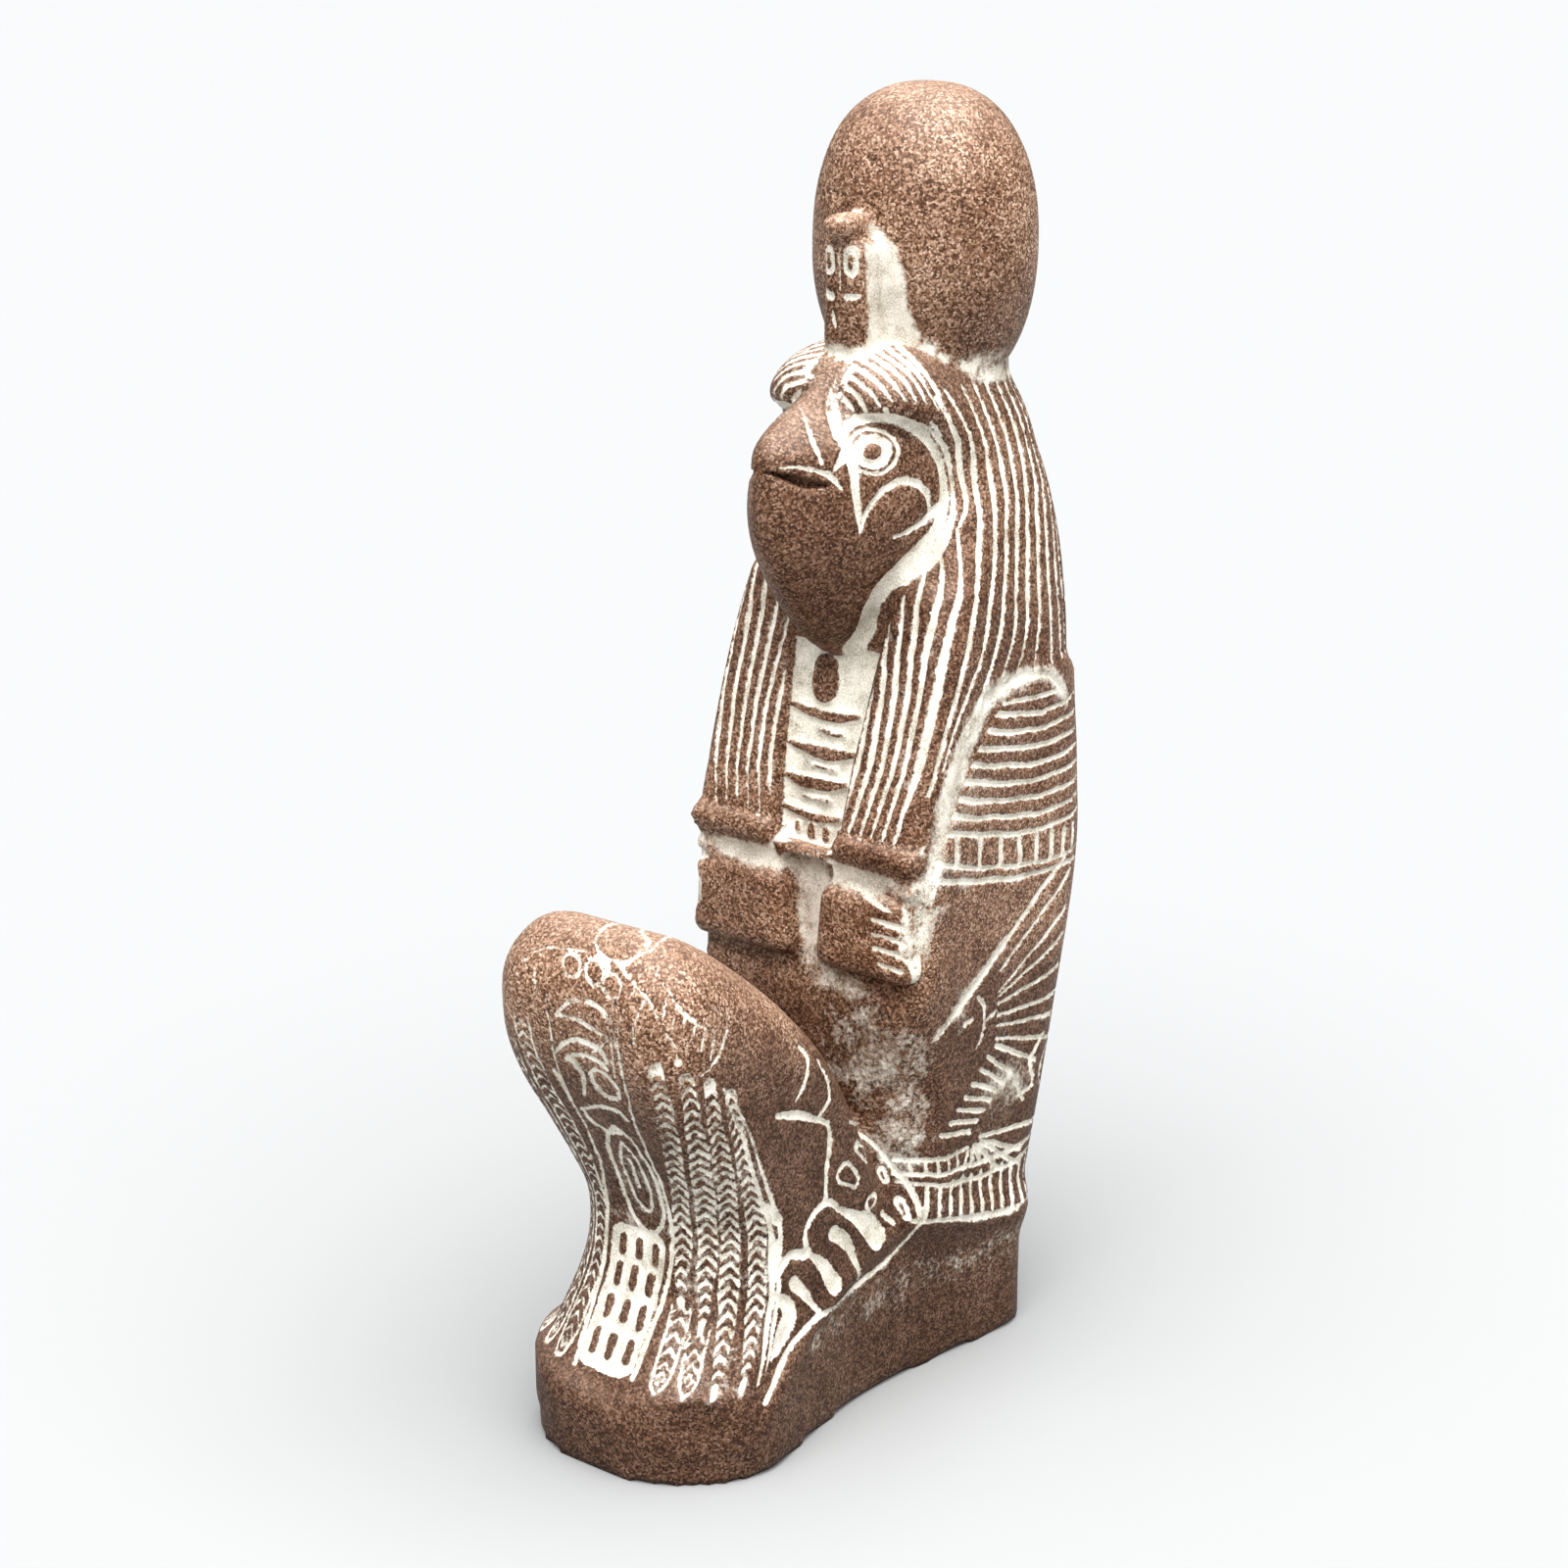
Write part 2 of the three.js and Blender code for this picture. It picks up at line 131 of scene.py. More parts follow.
def torso(x, y, z):
    """A column of rounded oblongs, by height, under the arch z = 108 - 21 |(y - 42) / 27| ^ 2.4."""
    arch = 108 - 21 * np.abs((y - 42) / 27) ** 2.4
    front = meet(np.abs(x) - torso_half(z), torso_front(z) - y, 2.5 + 9 * ramp(z, 62, 48))
    around = meet(front, y - torso_back(z), 13)
    return meet(meet(around, (z - arch) * 0.6, 1), hem(y) - z, 1.8)


# Chest, and the wig over the head and shoulders, with a lobe over each brow
WIG_LEVELS = (84, 96, 106, 114, 123, 132, 140, 145, 149, 153, 158)
wig_half = profile(WIG_LEVELS, (21.2, 21.3, 21.2, 20.9, 20.1, 19, 17.4, 15.9, 14.4, 12.2, 8))
wig_front = profile(WIG_LEVELS, (11.2, 12.8, 15.2, 17.2, 18.8, 20.6, 20.6, 17, 13, 13.8, 19.5))
wig_back = profile(WIG_LEVELS, (56.6, 56.6, 56.3, 56, 55.6, 54.4, 52.4, 51, 49.3, 47, 43))
wig_edge = profile(WIG_LEVELS, (3, 3, 3.2, 4.2, 6.5, 10, 12, 10, 8, 7, 6))


def wig(x, y, z):
    """A column of rounded oblongs that narrows from the shoulders at z = 80 to the crown at z = 157."""
    front = meet(np.abs(x) - wig_half(z), (wig_front(z) - y) * 0.9, wig_edge(z))
    around = meet(front, (y - wig_back(z)) * 0.95, 14 - 3 * ramp(z, 140, 155))
    return meet(meet(around, z - 157, 3), 80 - z, 1)


# The two wig ends down the chest, the cuffs under them, and the clenched fists below
lappet_front = profile((80, 84, 95, 104, 113, 122), (7.8, 8, 10.6, 13.2, 15.7, 17.6))
lappet_inner = profile((84, 100, 114, 122), (6.3, 6.9, 8.2, 9.5))


def lappets(x, y, z):
    """From lappet_inner(z) out to the wig's side, behind lappet_front(z), between z = 82.5 and 124."""
    ax = np.abs(x)
    outer = meet(ax - wig_half(z), (lappet_front(z) - y) * 0.97, wig_edge(z))
    strip = np.maximum(meet(lappet_inner(z) - ax, outer, 1.6), y - 24)
    return meet(meet(strip, 82.5 - z, 1), z - 124, 3)


def pair(x, y, inner, outer, front, back, side_edge, front_edge):
    """Equal left and right blocks between two widths and two depths, rounded in front."""
    ax = np.abs(x)
    return np.maximum(meet(meet(inner - ax, ax - outer, side_edge), front - y, front_edge), y - back)


def cuffs(x, y, z):
    """A bar under each wig end, 3.6 mm high, rounded to 1 mm."""
    return meet(pair(x, y, 5.7, 21.5, 7.2, 10.2, 1, 1.2), np.abs(z - 84.3) - 1.8, 1)


def wrists(x, y, z):
    """The short arm between cuff and fist."""
    return meet(pair(x, y, 4.5, 21, 8.9, 16, 2, 1.5), np.abs(z - 80.5) - 3.5, 1.5)


def fists(x, y, z):
    """A closed hand 13.2 mm high, narrower at its top, with the thumb's knuckle over its outer end."""
    up = z - 65.3
    outer = 20.9 - 0.05 * up + np.where(x < 0, 0.7, 0)
    hand = meet(pair(x, y, 2.3 + 0.1 * up, outer, 7.2, 18, 2.2, 2.2), np.abs(z - 71.9) - 6.6, 2.2)
    ax = np.abs(x)
    thumb = np.sqrt(((ax - 18.7) / 2.5) ** 2 + ((y - 9.8) / 2.1) ** 2 + ((z - 79.7) / 1.4) ** 2) - 1
    return join(hand, thumb * 1.4, 0.4)


def belt(x, y, z):
    """The narrow bar across the waist, between the two wrists."""
    bar = meet(meet(np.abs(x) - 7.2, 8.8 - y, 0.6), np.abs(z - 82) - 0.95, 0.6)
    return np.maximum(bar, y - 15)


# The falcon's face: a ridged brow and beak over a deep jaw that narrows to the chin
FACE_LEVELS = (111, 114, 118, 124, 130, 136, 140, 144, 147, 150, 156)
face_front = profile(FACE_LEVELS, (15.5, 11, 7, 2.6, -0.6, -1.9, -1.8, -1.2, 2.4, 8, 18))
face_half = profile(FACE_LEVELS, (2.6, 5, 8, 11.4, 13.6, 14.6, 14.6, 13.8, 10.8, 6.8, 4))
face_fullness = profile(FACE_LEVELS, (2.2, 2.2, 2.1, 1.9, 1.75, 1.6, 1.5, 1.45, 1.5, 1.6, 2))


def face(x, y, z):
    """By height, half an oval: (|x| / half) ^ n + ((30 - y) / depth) ^ n = 1, with n < 2 for a ridge."""
    half, depth, n = face_half(z), 30 - face_front(z), face_fullness(z)
    outline = (np.abs(x) / half) ** n + (np.maximum(30 - y, 0) / depth) ** n
    wedge = (outline ** (1 / n) - 1) * np.minimum(half, depth) * 0.8
    return meet(meet(np.maximum(wedge, y - 34), z - 157, 2), 110.6 - z, 1.5)


# The sun disc, a thick egg whose neck sinks into the crown, and the rearing cobra against its front
def disc(x, y, z):
    """An egg 34 x 31.6 x 48 mm: ring ^ 2.35 + level ^ 2.35 = 1, narrowed towards its foot by 13%."""
    level = (z - 169.5) / 24
    taper = 1 - 0.13 * np.clip(-level, 0, 1.5) ** 2
    ring = ((np.abs(x) / (17 * taper)) ** 2.05 + (np.abs(y - 37.3) / (15.8 * taper)) ** 2.05) ** (1 / 2.05)
    egg = (ring ** 2.35 + np.abs(level) ** 2.35) ** (1 / 2.35) - 1
    neck = np.maximum((ring - 0.8) * 13, np.maximum(z - 165, 150 - z))
    return np.minimum(egg * 15, neck)


def cobra(x, y, z):
    """A hood 7.8 mm wide from the crown to z = 172.6, and an oval head 5.5 x 8.4 x 3.8 mm on it."""
    hood = meet(meet(np.abs(x) - 3.9, 16.8 - y, 2.2), y - 30, 1)
    hood = meet(hood, np.abs(z - 163.8) - 8.8, 2.5)
    head = (np.sqrt((x / 2.73) ** 2 + ((y - 18) / 4.2) ** 2 + ((z - 174.2) / 1.9) ** 2) - 1) * 1.9
    return join(hood, head, 1)


# The forms in the order that they join, each with the fillet at its crease
FORMS = (("slab", foot_slab, 0), ("legs", legs, 2), ("torso", torso, 5), ("wig", wig, 1),
         ("lappets", lappets, 0.6), ("wrists", wrists, 1), ("belt", belt, 0.4), ("cuffs", cuffs, 0.4),
         ("fists", fists, 0.8), ("face", face, 1), ("disc", disc, 1.5), ("cobra", cobra, 0.8))


def stone(points):
    """The whole block's field at points (n, 3): every form joined in turn, cut flat by the floor."""
    x, y, z = points.T
    whole = FORMS[0][1](x, y, z)
    for _, form, fillet in FORMS[1:]:
        whole = join(whole, form(x, y, z), fillet)
    return np.maximum(whole, -z)


def slope(points, reach=0.04):
    """The field's gradient by central differences: (f(p + e) - f(p - e)) / 2e along each axis."""
    steps = np.eye(3) * reach
    return np.stack([stone(points + e) - stone(points - e) for e in steps], 1) / (2 * reach)


def settle(points, rounds=3, furthest=1.2):
    """Move points along the gradient onto the surface: p - f g / |g|^2, at most so far."""
    start = points
    for _ in range(rounds):
        g = slope(points)
        points = points - g * (stone(points) / np.maximum((g * g).sum(1), 0.05))[:, None]
    move = points - start
    far = np.linalg.norm(move, axis=1, keepdims=True)
    points = start + move * np.minimum(1, furthest / np.maximum(far, 1e-9))
    points[:, 2] = np.where(points[:, 2] < 0.05, 0, points[:, 2])
    return points


# The strokes
# Cut into the ground block with a fine burr: straight grooves, drops and small ovals about 1 mm wide and
# 0.4 mm deep. Each is a smooth line in a flat map of its own side of the figure, in millimetres.


def line(points, *half_widths, step=1.5):
    """A smooth stroke through points, its half width (mm) given at even places; step 0 keeps corners."""
    p = np.array(points, float)
    run = np.r_[0, np.cumsum(np.hypot(*np.diff(p, axis=0).T))]
    t = np.linspace(0, run[-1], max(2, int(np.ceil(run[-1] / step)) + 1)) if step and len(p) > 2 else run
    p = np.stack([profile(run, p[:, 0])(t), profile(run, p[:, 1])(t)], 1)
    return p, np.interp(t / run[-1], np.linspace(0, 1, len(half_widths)), half_widths)


def arc(across, up, wide, tall, start=0, end=360, tilt=0):
    """Points of an oval's arc in a map: centre + (wide cos a, tall sin a), turned by tilt, in degrees."""
    a, turn = np.radians(np.linspace(start, end, 9)), math.radians(tilt)
    u, v, c, s = wide * np.cos(a), tall * np.sin(a), math.cos(turn), math.sin(turn)
    return np.stack([across + u * c - v * s, up + u * s + v * c], 1)


# No stroke is looked for further off than this (mm)
FAR = 1.5


def nearest(a, b, strokes):
    """Distance from each map point (a, b) to the edge of the nearest stroke, negative inside, up to FAR."""
    out = np.full(len(a), FAR)
    order = np.argsort(b)
    sa, sb = a[order], b[order]
    for p, w in strokes:
        reach = w.max() + FAR
        low, high = p.min(0) - reach, p.max(0) + reach
        i, j = np.searchsorted(sb, (low[1], high[1]))
        near = i + np.flatnonzero((sa[i:j] > low[0]) & (sa[i:j] < high[0]))
        if len(near) == 0:
            continue
        q = np.stack([sa[near], sb[near]], 1)[:, None]
        d = p[1:] - p[:-1]
        t = np.clip(((q - p[:-1]) * d).sum(2) / np.maximum((d * d).sum(1), 1e-9), 0, 1)
        gap = np.linalg.norm(q - p[:-1] - t[..., None] * d, axis=2) - (w[:-1] + t * (w[1:] - w[:-1]))
        where = order[near]
        out[where] = np.minimum(out[where], gap.min(1))
    return out


def flat_round(x, y, half, front, back, edge, back_edge):
    """Way round a rounded oblong in mm: y on its side, and the arc lengths of the corners beyond that."""
    ax = np.abs(x)
    edge, back_edge = np.minimum(edge, half - 1), np.minimum(back_edge, half - 1)
    f, b = front + edge, back - back_edge
    turn = np.clip(np.arctan2(f - y, ax - half + edge), 0, np.pi / 2)
    ahead = np.where(ax > half - edge, f - edge * turn, f - edge * np.pi / 2 - (half - edge - ax))
    turn = np.clip(np.arctan2(y - b, ax - half + back_edge), 0, np.pi / 2)
    behind = np.where(ax > half - back_edge, b + back_edge * turn,
                      b + back_edge * np.pi / 2 + half - back_edge - ax)
    return np.where(y > b, behind, np.where(y < f, ahead, y))


def leg_round(x, y, z):
    """Way round the shins from their middle: |x| in front, then the corner's arc, then y along the side."""
    ax, w, r, f = np.abs(x), leg_half(z), shin_edge(z), shin_front(z)
    turn = np.clip(np.arctan2(ax - (w - r), f + r - y), 0, np.pi / 2)
    u = np.where(y < f + r, np.where(ax > w - r, w - r + r * turn, ax), w - r + r * np.pi / 2 + y - f - r)
    return u * np.sign(x)


# Hair: long grooves that fan from the crown down the wig and its two ends, the same on both sides. Those of
# the side lie between a foremost and a hindmost one: way = front + (rear - front) * share ^ bend by level
SIDE_HAIR = ((151, 24.5, 41.9, 0.8), (141, 27.8, 43.8, 1), (133, 27.1, 43.3, 0.95), (125, 24.9, 42.4, 0.9),
             (117, 21.7, 41.9, 0.85), (110, 18.8, 42, 1), (103.5, 15.8, 42, 1.6), (94, 12.4, 42, 2))
HAIR = [line(((21.7, 150.4), (25.1, 142.3), (25.3, 134.5), (23.4, 131.4)), 0.28, 0.5, 0.5, 0.25)]
for share, foot in zip(np.linspace(0, 1, 7), (94, 97.5, 102.5, 105.5, 107, 107, 106)):
    way = profile([-level for level, *_ in SIDE_HAIR],
                  [front + (rear - front) * share ** bend for _, front, rear, bend in SIDE_HAIR])
    groove = [(float(way(-level)), level) for level in np.linspace(151, foot, 8)]
    HAIR.append(line(groove, 0.28, 0.5, 0.52, 0.44, 0.18))
# The grooves of the wig's two ends: from the outermost inwards, 2.1 to 3 mm apart, each from its own top
END_HAIR = profile((87, 91, 103, 117.5, 126, 131), (8.6, 9.8, 13.5, 18.5, 22.2, 23.2))
END_PITCH = profile((87, 103, 117.5, 131), (2.1, 2.15, 2.5, 3))
for k, top in enumerate((131, 129.5, 127.5, 121.5, 119, 116)):
    groove = [(float(END_HAIR(level) - k * END_PITCH(level)), level) for level in np.linspace(top, 87, 7)]
    HAIR.append(line(groove, 0.25, 0.5, 0.52, 0.46, 0.25))
# Down the back the grooves close up towards the crown: a share of the way from the side to the middle
BACK_HAIR = [line([(side + share * (middle - side), level) for level, side, middle in (
    (151, 43.6, 55), (147, 44.8, 60), (139, 46.4, 64), (131, 46.2, 67), (122, 45, 70), (112, 45.2, 71.5),
    (104.5, 45.4, 72))], 0.25, 0.45, 0.5, 0.48, 0.3) for share in np.linspace(0, 0.955, 11)]

# Round the face: a broad cut border with a thin ridge left in it, and the pointed marks of the eye
BORDER = [line(p, *w) for p, w in (
    (((10.6, 144.9), (12.4, 146.8), (15.4, 147.7), (18.4, 147.7), (21.8, 146.5), (25.1, 144.2),
      (27.4, 140.9), (28, 137.9), (27.6, 133.8)), (0.5, 0.7, 0.8, 1, 1.2, 1.2, 1.2)),
    (((27.6, 133.8), (26.4, 130.2), (24, 127.6), (21, 125), (18.2, 122.2), (17.2, 119.4), (16.9, 116.1),
      (15.8, 112.6)), (1.3, 1.5, 1.7, 1.5, 1.4)))]
BORDER_RIDGE = [line(((24.4, 145.6), (26.9, 142.2), (28.3, 138.4), (28, 134.6), (26.9, 131.6)),
                     0.1, 0.2, 0.2, 0.1)]
EYE_MARKS = [line(p, *w) for p, w in (
    (((11.9, 143.2), (12, 140.9), (12.3, 138.2), (12.8, 135), (13.1, 131.9)), (1.1, 0.8, 0.6, 0.5, 0.2)),
    (((13.1, 131.9), (14, 134.3), (15.4, 136.4), (17.6, 138.1), (20.8, 138.8), (23.2, 137.7), (24.7, 135.7),
      (24.9, 133.7)), (0.2, 0.45, 0.5, 0.6, 0.6, 0.5, 0.25)),
    (((18.8, 130.7), (21, 131.1), (23.6, 131.9), (25.9, 133.8), (27.6, 135.6)), (0.3, 0.5, 0.55, 0.6)),
    (((9.2, 141.2), (10.8, 143), (11.6, 144.8)), (0.3, 0.8, 0.9)))]
BEAK_MARKS = [line(p, *w) for p, w in (
    (((6.4, 149.5), (6.3, 147.6), (6.5, 145.4), (7.1, 143.2), (7.4, 141.9)), (0.1, 0.25, 0.4, 0.35, 0.15)),
    (((0.9, 141.7), (3.1, 141.9), (6, 141.5), (8.2, 140.6), (10.1, 138.5)), (0.1, 0.18, 0.32, 0.45, 0.2)))]
BEAK_SIDE = [line(((15.8, 156.6), (14.9, 154.8), (13.2, 152.8), (11.9, 150.8), (10.9, 148.4), (10.5, 146)),
                  0.3, 0.45, 0.6, 0.85, 1.1, 0.8)]
MOUTH = [line(((-0.9, 141.3), (1, 140.7), (3.4, 139.9), (5.9, 139.5), (8.2, 139.2)),
              0.2, 0.5, 0.9, 0.75, 0.25)]

# The view from the front left and a little above, in which strokes on rounded ground are laid out
VIEW_TURN, VIEW_TILT = math.radians(39), math.radians(16.5)


def view_map(x, y, z):
    """Flat map along that view: right = x cos T + y sin T, up = (y cos T - x sin T) sin E + z cos E."""
    c, s = math.cos(VIEW_TURN), math.sin(VIEW_TURN)
    return x * c + y * s, (y * c - x * s) * math.sin(VIEW_TILT) + z * math.cos(VIEW_TILT)


# Over the brows: short curved strokes on the two lobes of the wig, fanning from the foot of the cobra
BROW = [line(((17, 144.3), (17.4, 143.3)), 0.3, 0.43), line(((23.8, 142.7), (25.2, 140.9)), 0.3)]
for k, (across, up) in enumerate(arc(19, 146, 8.4, 8.4, 176, 90)):
    share = k / 8
    foot = (12.8 + 13.8 * share, 142.6 + 1.3 * share + 2.4 * math.sin(math.pi * share))
    waist = (across * 0.5 + foot[0] * 0.5 + 0.4, up * 0.5 + foot[1] * 0.5 + 0.5)
    BROW.append(line(((across, up), waist, foot), 0.42, 0.38, 0.15))

# The arms at the sides: an arched outline, sleeve bands across it, and a row of beads at the elbow
ARM_OUTLINE = [line(arc(34.5, 99, 12, 8.7, 148, 14), 0.5, 0.7, 0.6, 0.5, 0.45, 0.4)]
# Eight sleeve bands, one pitch apart where the arm is deepest, which all rise towards the front
PITCH = 2.66
SLEEVE = [line(((24 - 1.4 * k, 104.1 - 2.3 * k), (28, 103.2 - PITCH * k), (38, 101.5 - PITCH * k),
                (51, 101.8 - PITCH * k)), 0.55, 0.48, 0.44, 0.42, 0.36, 0.3) for k in range(8)]
SLEEVE.append(line(((26.5, 104.7), (34, 104.2), (42.6, 103.7)), 0.3, 0.37, 0.34))
# Two rails under the sleeve, z = base + bow (51 - s)^2, and eight beads above the upper one
RAIL, RAIL_BOW = 77, 0.0046
BEADS = [line([(way, base + bow * (51 - way) ** 2) for way in (12, 22, 32, 42, 51)], wide, wide * 0.75)
         for base, bow, wide in ((RAIL, RAIL_BOW, 0.42), (75.4, 0.004, 0.52))]
for k in range(8):
    way = 17 + 6.2 * k - 0.25 * k * k
    rail = RAIL + RAIL_BOW * (51 - way) ** 2
    BEADS.append(line(((way, rail + 4.2), (way, rail + 0.2)), 0.62, 0.55))
# The deep channel between wig end and arm, and its foot beside the hand
CHANNEL = [line(((30.5, 108.4), (23.3, 104), (18.3, 97.5), (14, 90), (11.5, 84)), 0.4, 1.3, 1.6, 1.6, 1.5)]
HAND_CHANNEL = [line(((13, 88), (12, 83), (10, 78), (9, 73), (9.4, 66)), 0.9, 1.3, 2, 2, 0.7)]

# The folded wing on the hip: a leading edge, long feathers to the back, short ones below, and two bands
WING = [line(((46.5, 77), (37.5, 71.5), (26.5, 63.5), (14.4, 55.8)), 0.4, 0.6, 0.5, 0.55, 0.7, 0.2)]
# Long feathers, each from its height at the root to its height at the back
WING += [line(((30, root), (48, tip)), 0.26, 0.48, 0.56, 0.44)
         for root, tip in ((62.3, 74), (58.9, 68), (58, 63.6), (56.8, 58.3), (54.8, 53.6), (53.2, 50),
                           (51, 46))]
WING.append(line(((41, 44.3), (30.3, 49.7)), 0.4, 0.5))
# Short feathers round the tip, in even steps between the first and the last
WING += [line(((34.1 - 9.8 * share, 44.5 - 7 * share), (28 - 11.3 * share, 48.6 - 9.4 * share)), 0.45, 0.4)
         for share in np.linspace(0, 1, 7)]
# Under the tip, rays from one point: angle below level, inner and outer radius
RAYS = (24.5, 36.2)
WING += [line([(RAYS[0] + r * math.cos(math.radians(a)), RAYS[1] - r * math.sin(math.radians(a)))
               for r in (near, far)], 0.4, 0.48)
         for a, near, far in ((9, 2.5, 24), (24, 3, 15), (32, 3, 17), (44, 2, 11), (58, 1.5, 5),
                              (80, 2, 4.5), (110, 2, 4.5))]
# The eye of the wing, and loose strokes where feathers and rays cross
WING += [line(arc(21.5, 55.5, 5.2, 5.2, 55, -55), 0.3, 0.42, 0.36, 0.16)]
WING += [line(p, *w) for p, w in (
    (((29.8, 55.7), (26.5, 54.7)), (0.33,)), (((23.3, 56.3), (21.4, 55.8)), (0.4, 0.5)),
    (((43.5, 48), (39.5, 44.5), (41, 40.5), (36.5, 39.5)), (0.3, 0.6, 0.5, 0.3)),
    (((46.5, 46), (43.5, 42), (45.5, 37.5)), (0.3, 0.5, 0.3)), (((35.5, 42.5), (38, 38.5)), (0.4,)))]
# Two bands below, with a short line, and the hem under them: z = base + bow (s - lowest)^2
WING += [line([(way, base + bow * (way - lowest) ** 2) for way in np.linspace(start, end, 5)],
              0.34, wide, wide, 0.3)
         for base, bow, lowest, start, end, wide in (
             (35, 0.0085, 23.7, 8.6, 23.7, 0.4), (30.8, 0.0045, 38, 10, 48, 0.46),
             (28.4, 0.0062, 37, 10.6, 48, 0.4), (20, 0.0046, 50, 12, 50, 0.65))]
WING += [line(((way, 36 - 0.05 * (way - 13)), (way + 0.3, 33.7 - 0.2 * (way - 13))), 0.3)
         for way in np.linspace(12, 20.8, 5)]
WING += [line(((way, 31.4 - 0.13 * (way - 13) + 0.001 * (way - 13) ** 2),
               (way - 0.6, 26.4 - 0.22 * (way - 13) + 0.001 * (way - 13) ** 2)), 0.46, 0.58, 0.46)
         for way in np.linspace(14.6, 46.6, 13)]

# The sides of the legs: a winding band left standing between cut drops, small ovals, and the knee's arcs
LEG_SIDE = [line(p, *w) for p, w in (
    (((-24.6, 11.2), (-21.7, 13.6), (-16.1, 17.4), (-11.1, 19.1), (-4, 18.6), (1.8, 19.2), (8, 20.4),
      (11.4, 22.6), (13.3, 26)), (0.4, 0.5, 0.5, 0.5, 0.5, 0.4)),
    (((13.3, 26), (12.7, 29.4), (10.6, 34.4), (7.8, 39.6), (2, 44.4), (-1.6, 46.6)),
     (0.5, 0.45, 0.3, 0.3, 0.25)),
    (((-15.2, 25.7), (-12.8, 23.3), (-10.4, 19.7)), (1.1, 0.75, 0.4)),
    (((-10.9, 28.4), (-8.2, 25.8), (-6.1, 22.6)), (0.5, 1.1, 1.7)),
    (((-5.6, 30.3), (-3.2, 28.4), (-0.7, 24.3), (0.4, 20.6)), (1.3, 1.1, 0.6, 0.4)),
    (((-4.6, 33.9), (0.1, 30.8), (3.4, 28), (5, 25.8)), (0.4, 0.9, 1.8, 1.9)),
    (((-19.6, 25.6), (-16.6, 21.9), (-18.6, 19.4), (-21.4, 16.6)), (0.5, 1.6, 1.7, 0.5)),
    (((-18.9, 27.7), (-15.6, 30.4), (-11.4, 29.2), (-12.2, 31.8), (-10.2, 34.8), (-6.9, 35.6),
      (-4.4, 33.9)), (0.5, 0.8, 0.8, 0.5, 0.6, 0.7, 0.4)),
    (((-7.6, 36), (-7.3, 40.5), (-6.8, 46), (-7.4, 48.6)), (0.6, 0.4, 0.7, 0.4)),
    (((-7.4, 48.4), (-11.6, 50.6), (-15.3, 52.4), (-19.6, 53.6)), (0.4, 0.5, 0.8, 0.4)),
    (((-14.4, 62.6), (-12.6, 60.4), (-13, 57.4), (-15.4, 54.6)), (0.3, 0.5, 0.3)),
    (((-9.6, 58.8), (-7.6, 55.4), (-7.4, 52), (-9.8, 50.2)), (0.2, 0.4, 0.4, 0.3)))]
OVALS = [line(p, *w) for p, w in (
    (((0.2, 42.2), (4.6, 39)), (0.9, 1.5)), (((-3, 38.9), (-0.6, 36.9)), (1.9, 1.3)),
    (((3.4, 31.9), (5.2, 31.9)), (1.3, 1)), (((8.7, 34.9), (9.1, 33.4)), (0.8, 0.7)),
    (((10.6, 29.7), (11.1, 27.4)), (0.75, 0.6)), (((6.9, 28.8), (9, 26.9)), (0.6, 0.4)))]
OVAL_CORES = [line(p, *w) for p, w in (
    (((0.6, 41.8), (4.6, 39)), (0.3, 0.85)), (((-3, 38.8), (-0.7, 36.9)), (1.25, 0.65)),
    (((3.5, 31.8), (5.1, 31.8)), (0.7, 0.4)), (((8.7, 34.7), (9, 33.6)), (0.25, 0.2)),
    (((10.6, 29.3), (10.9, 27.9)), (0.25, 0.1)))]

# The shins: columns of braid between double lines, from the knee down to rounded ends over the toes
COLUMN_LEVELS = (14.6, 21.6, 28.7, 37, 47, 56.5, 65, 74)
# For each column: the way round at those levels, its top, and the level under which its heads are thin
COLUMNS = (((8.9, 9, 7.8, 7.7, 10.2, 13.1, 14.3, 13), 66, 25),
           ((13.4, 12.5, 11.5, 11.5, 14.1, 17, 18.5, 18), 64.5, 22),
           ((17.9, 16.2, 14.9, 14.9, 17.4, 20.3, 22.3, 22.6), 63, 0),
           ((22.6, 20.6, 19.2, 19.1, 20.9, 24, 26.3, 27.2), 60, 0),
           ((-10, -9.2, -8.8, -8.6, -8.6, -8.8, -9.4, -10), 69, 69),
           ((-14.5, -13.6, -13, -12.6, -12.6, -13, -13.6, -14.6), 66, 66),
           ((-19, -18, -17.2, -16.8, -16.8, -17.2, -18, -19), 63, 63))
# The ground between the heads starts at this level
COLUMN_FOOT = 13.9


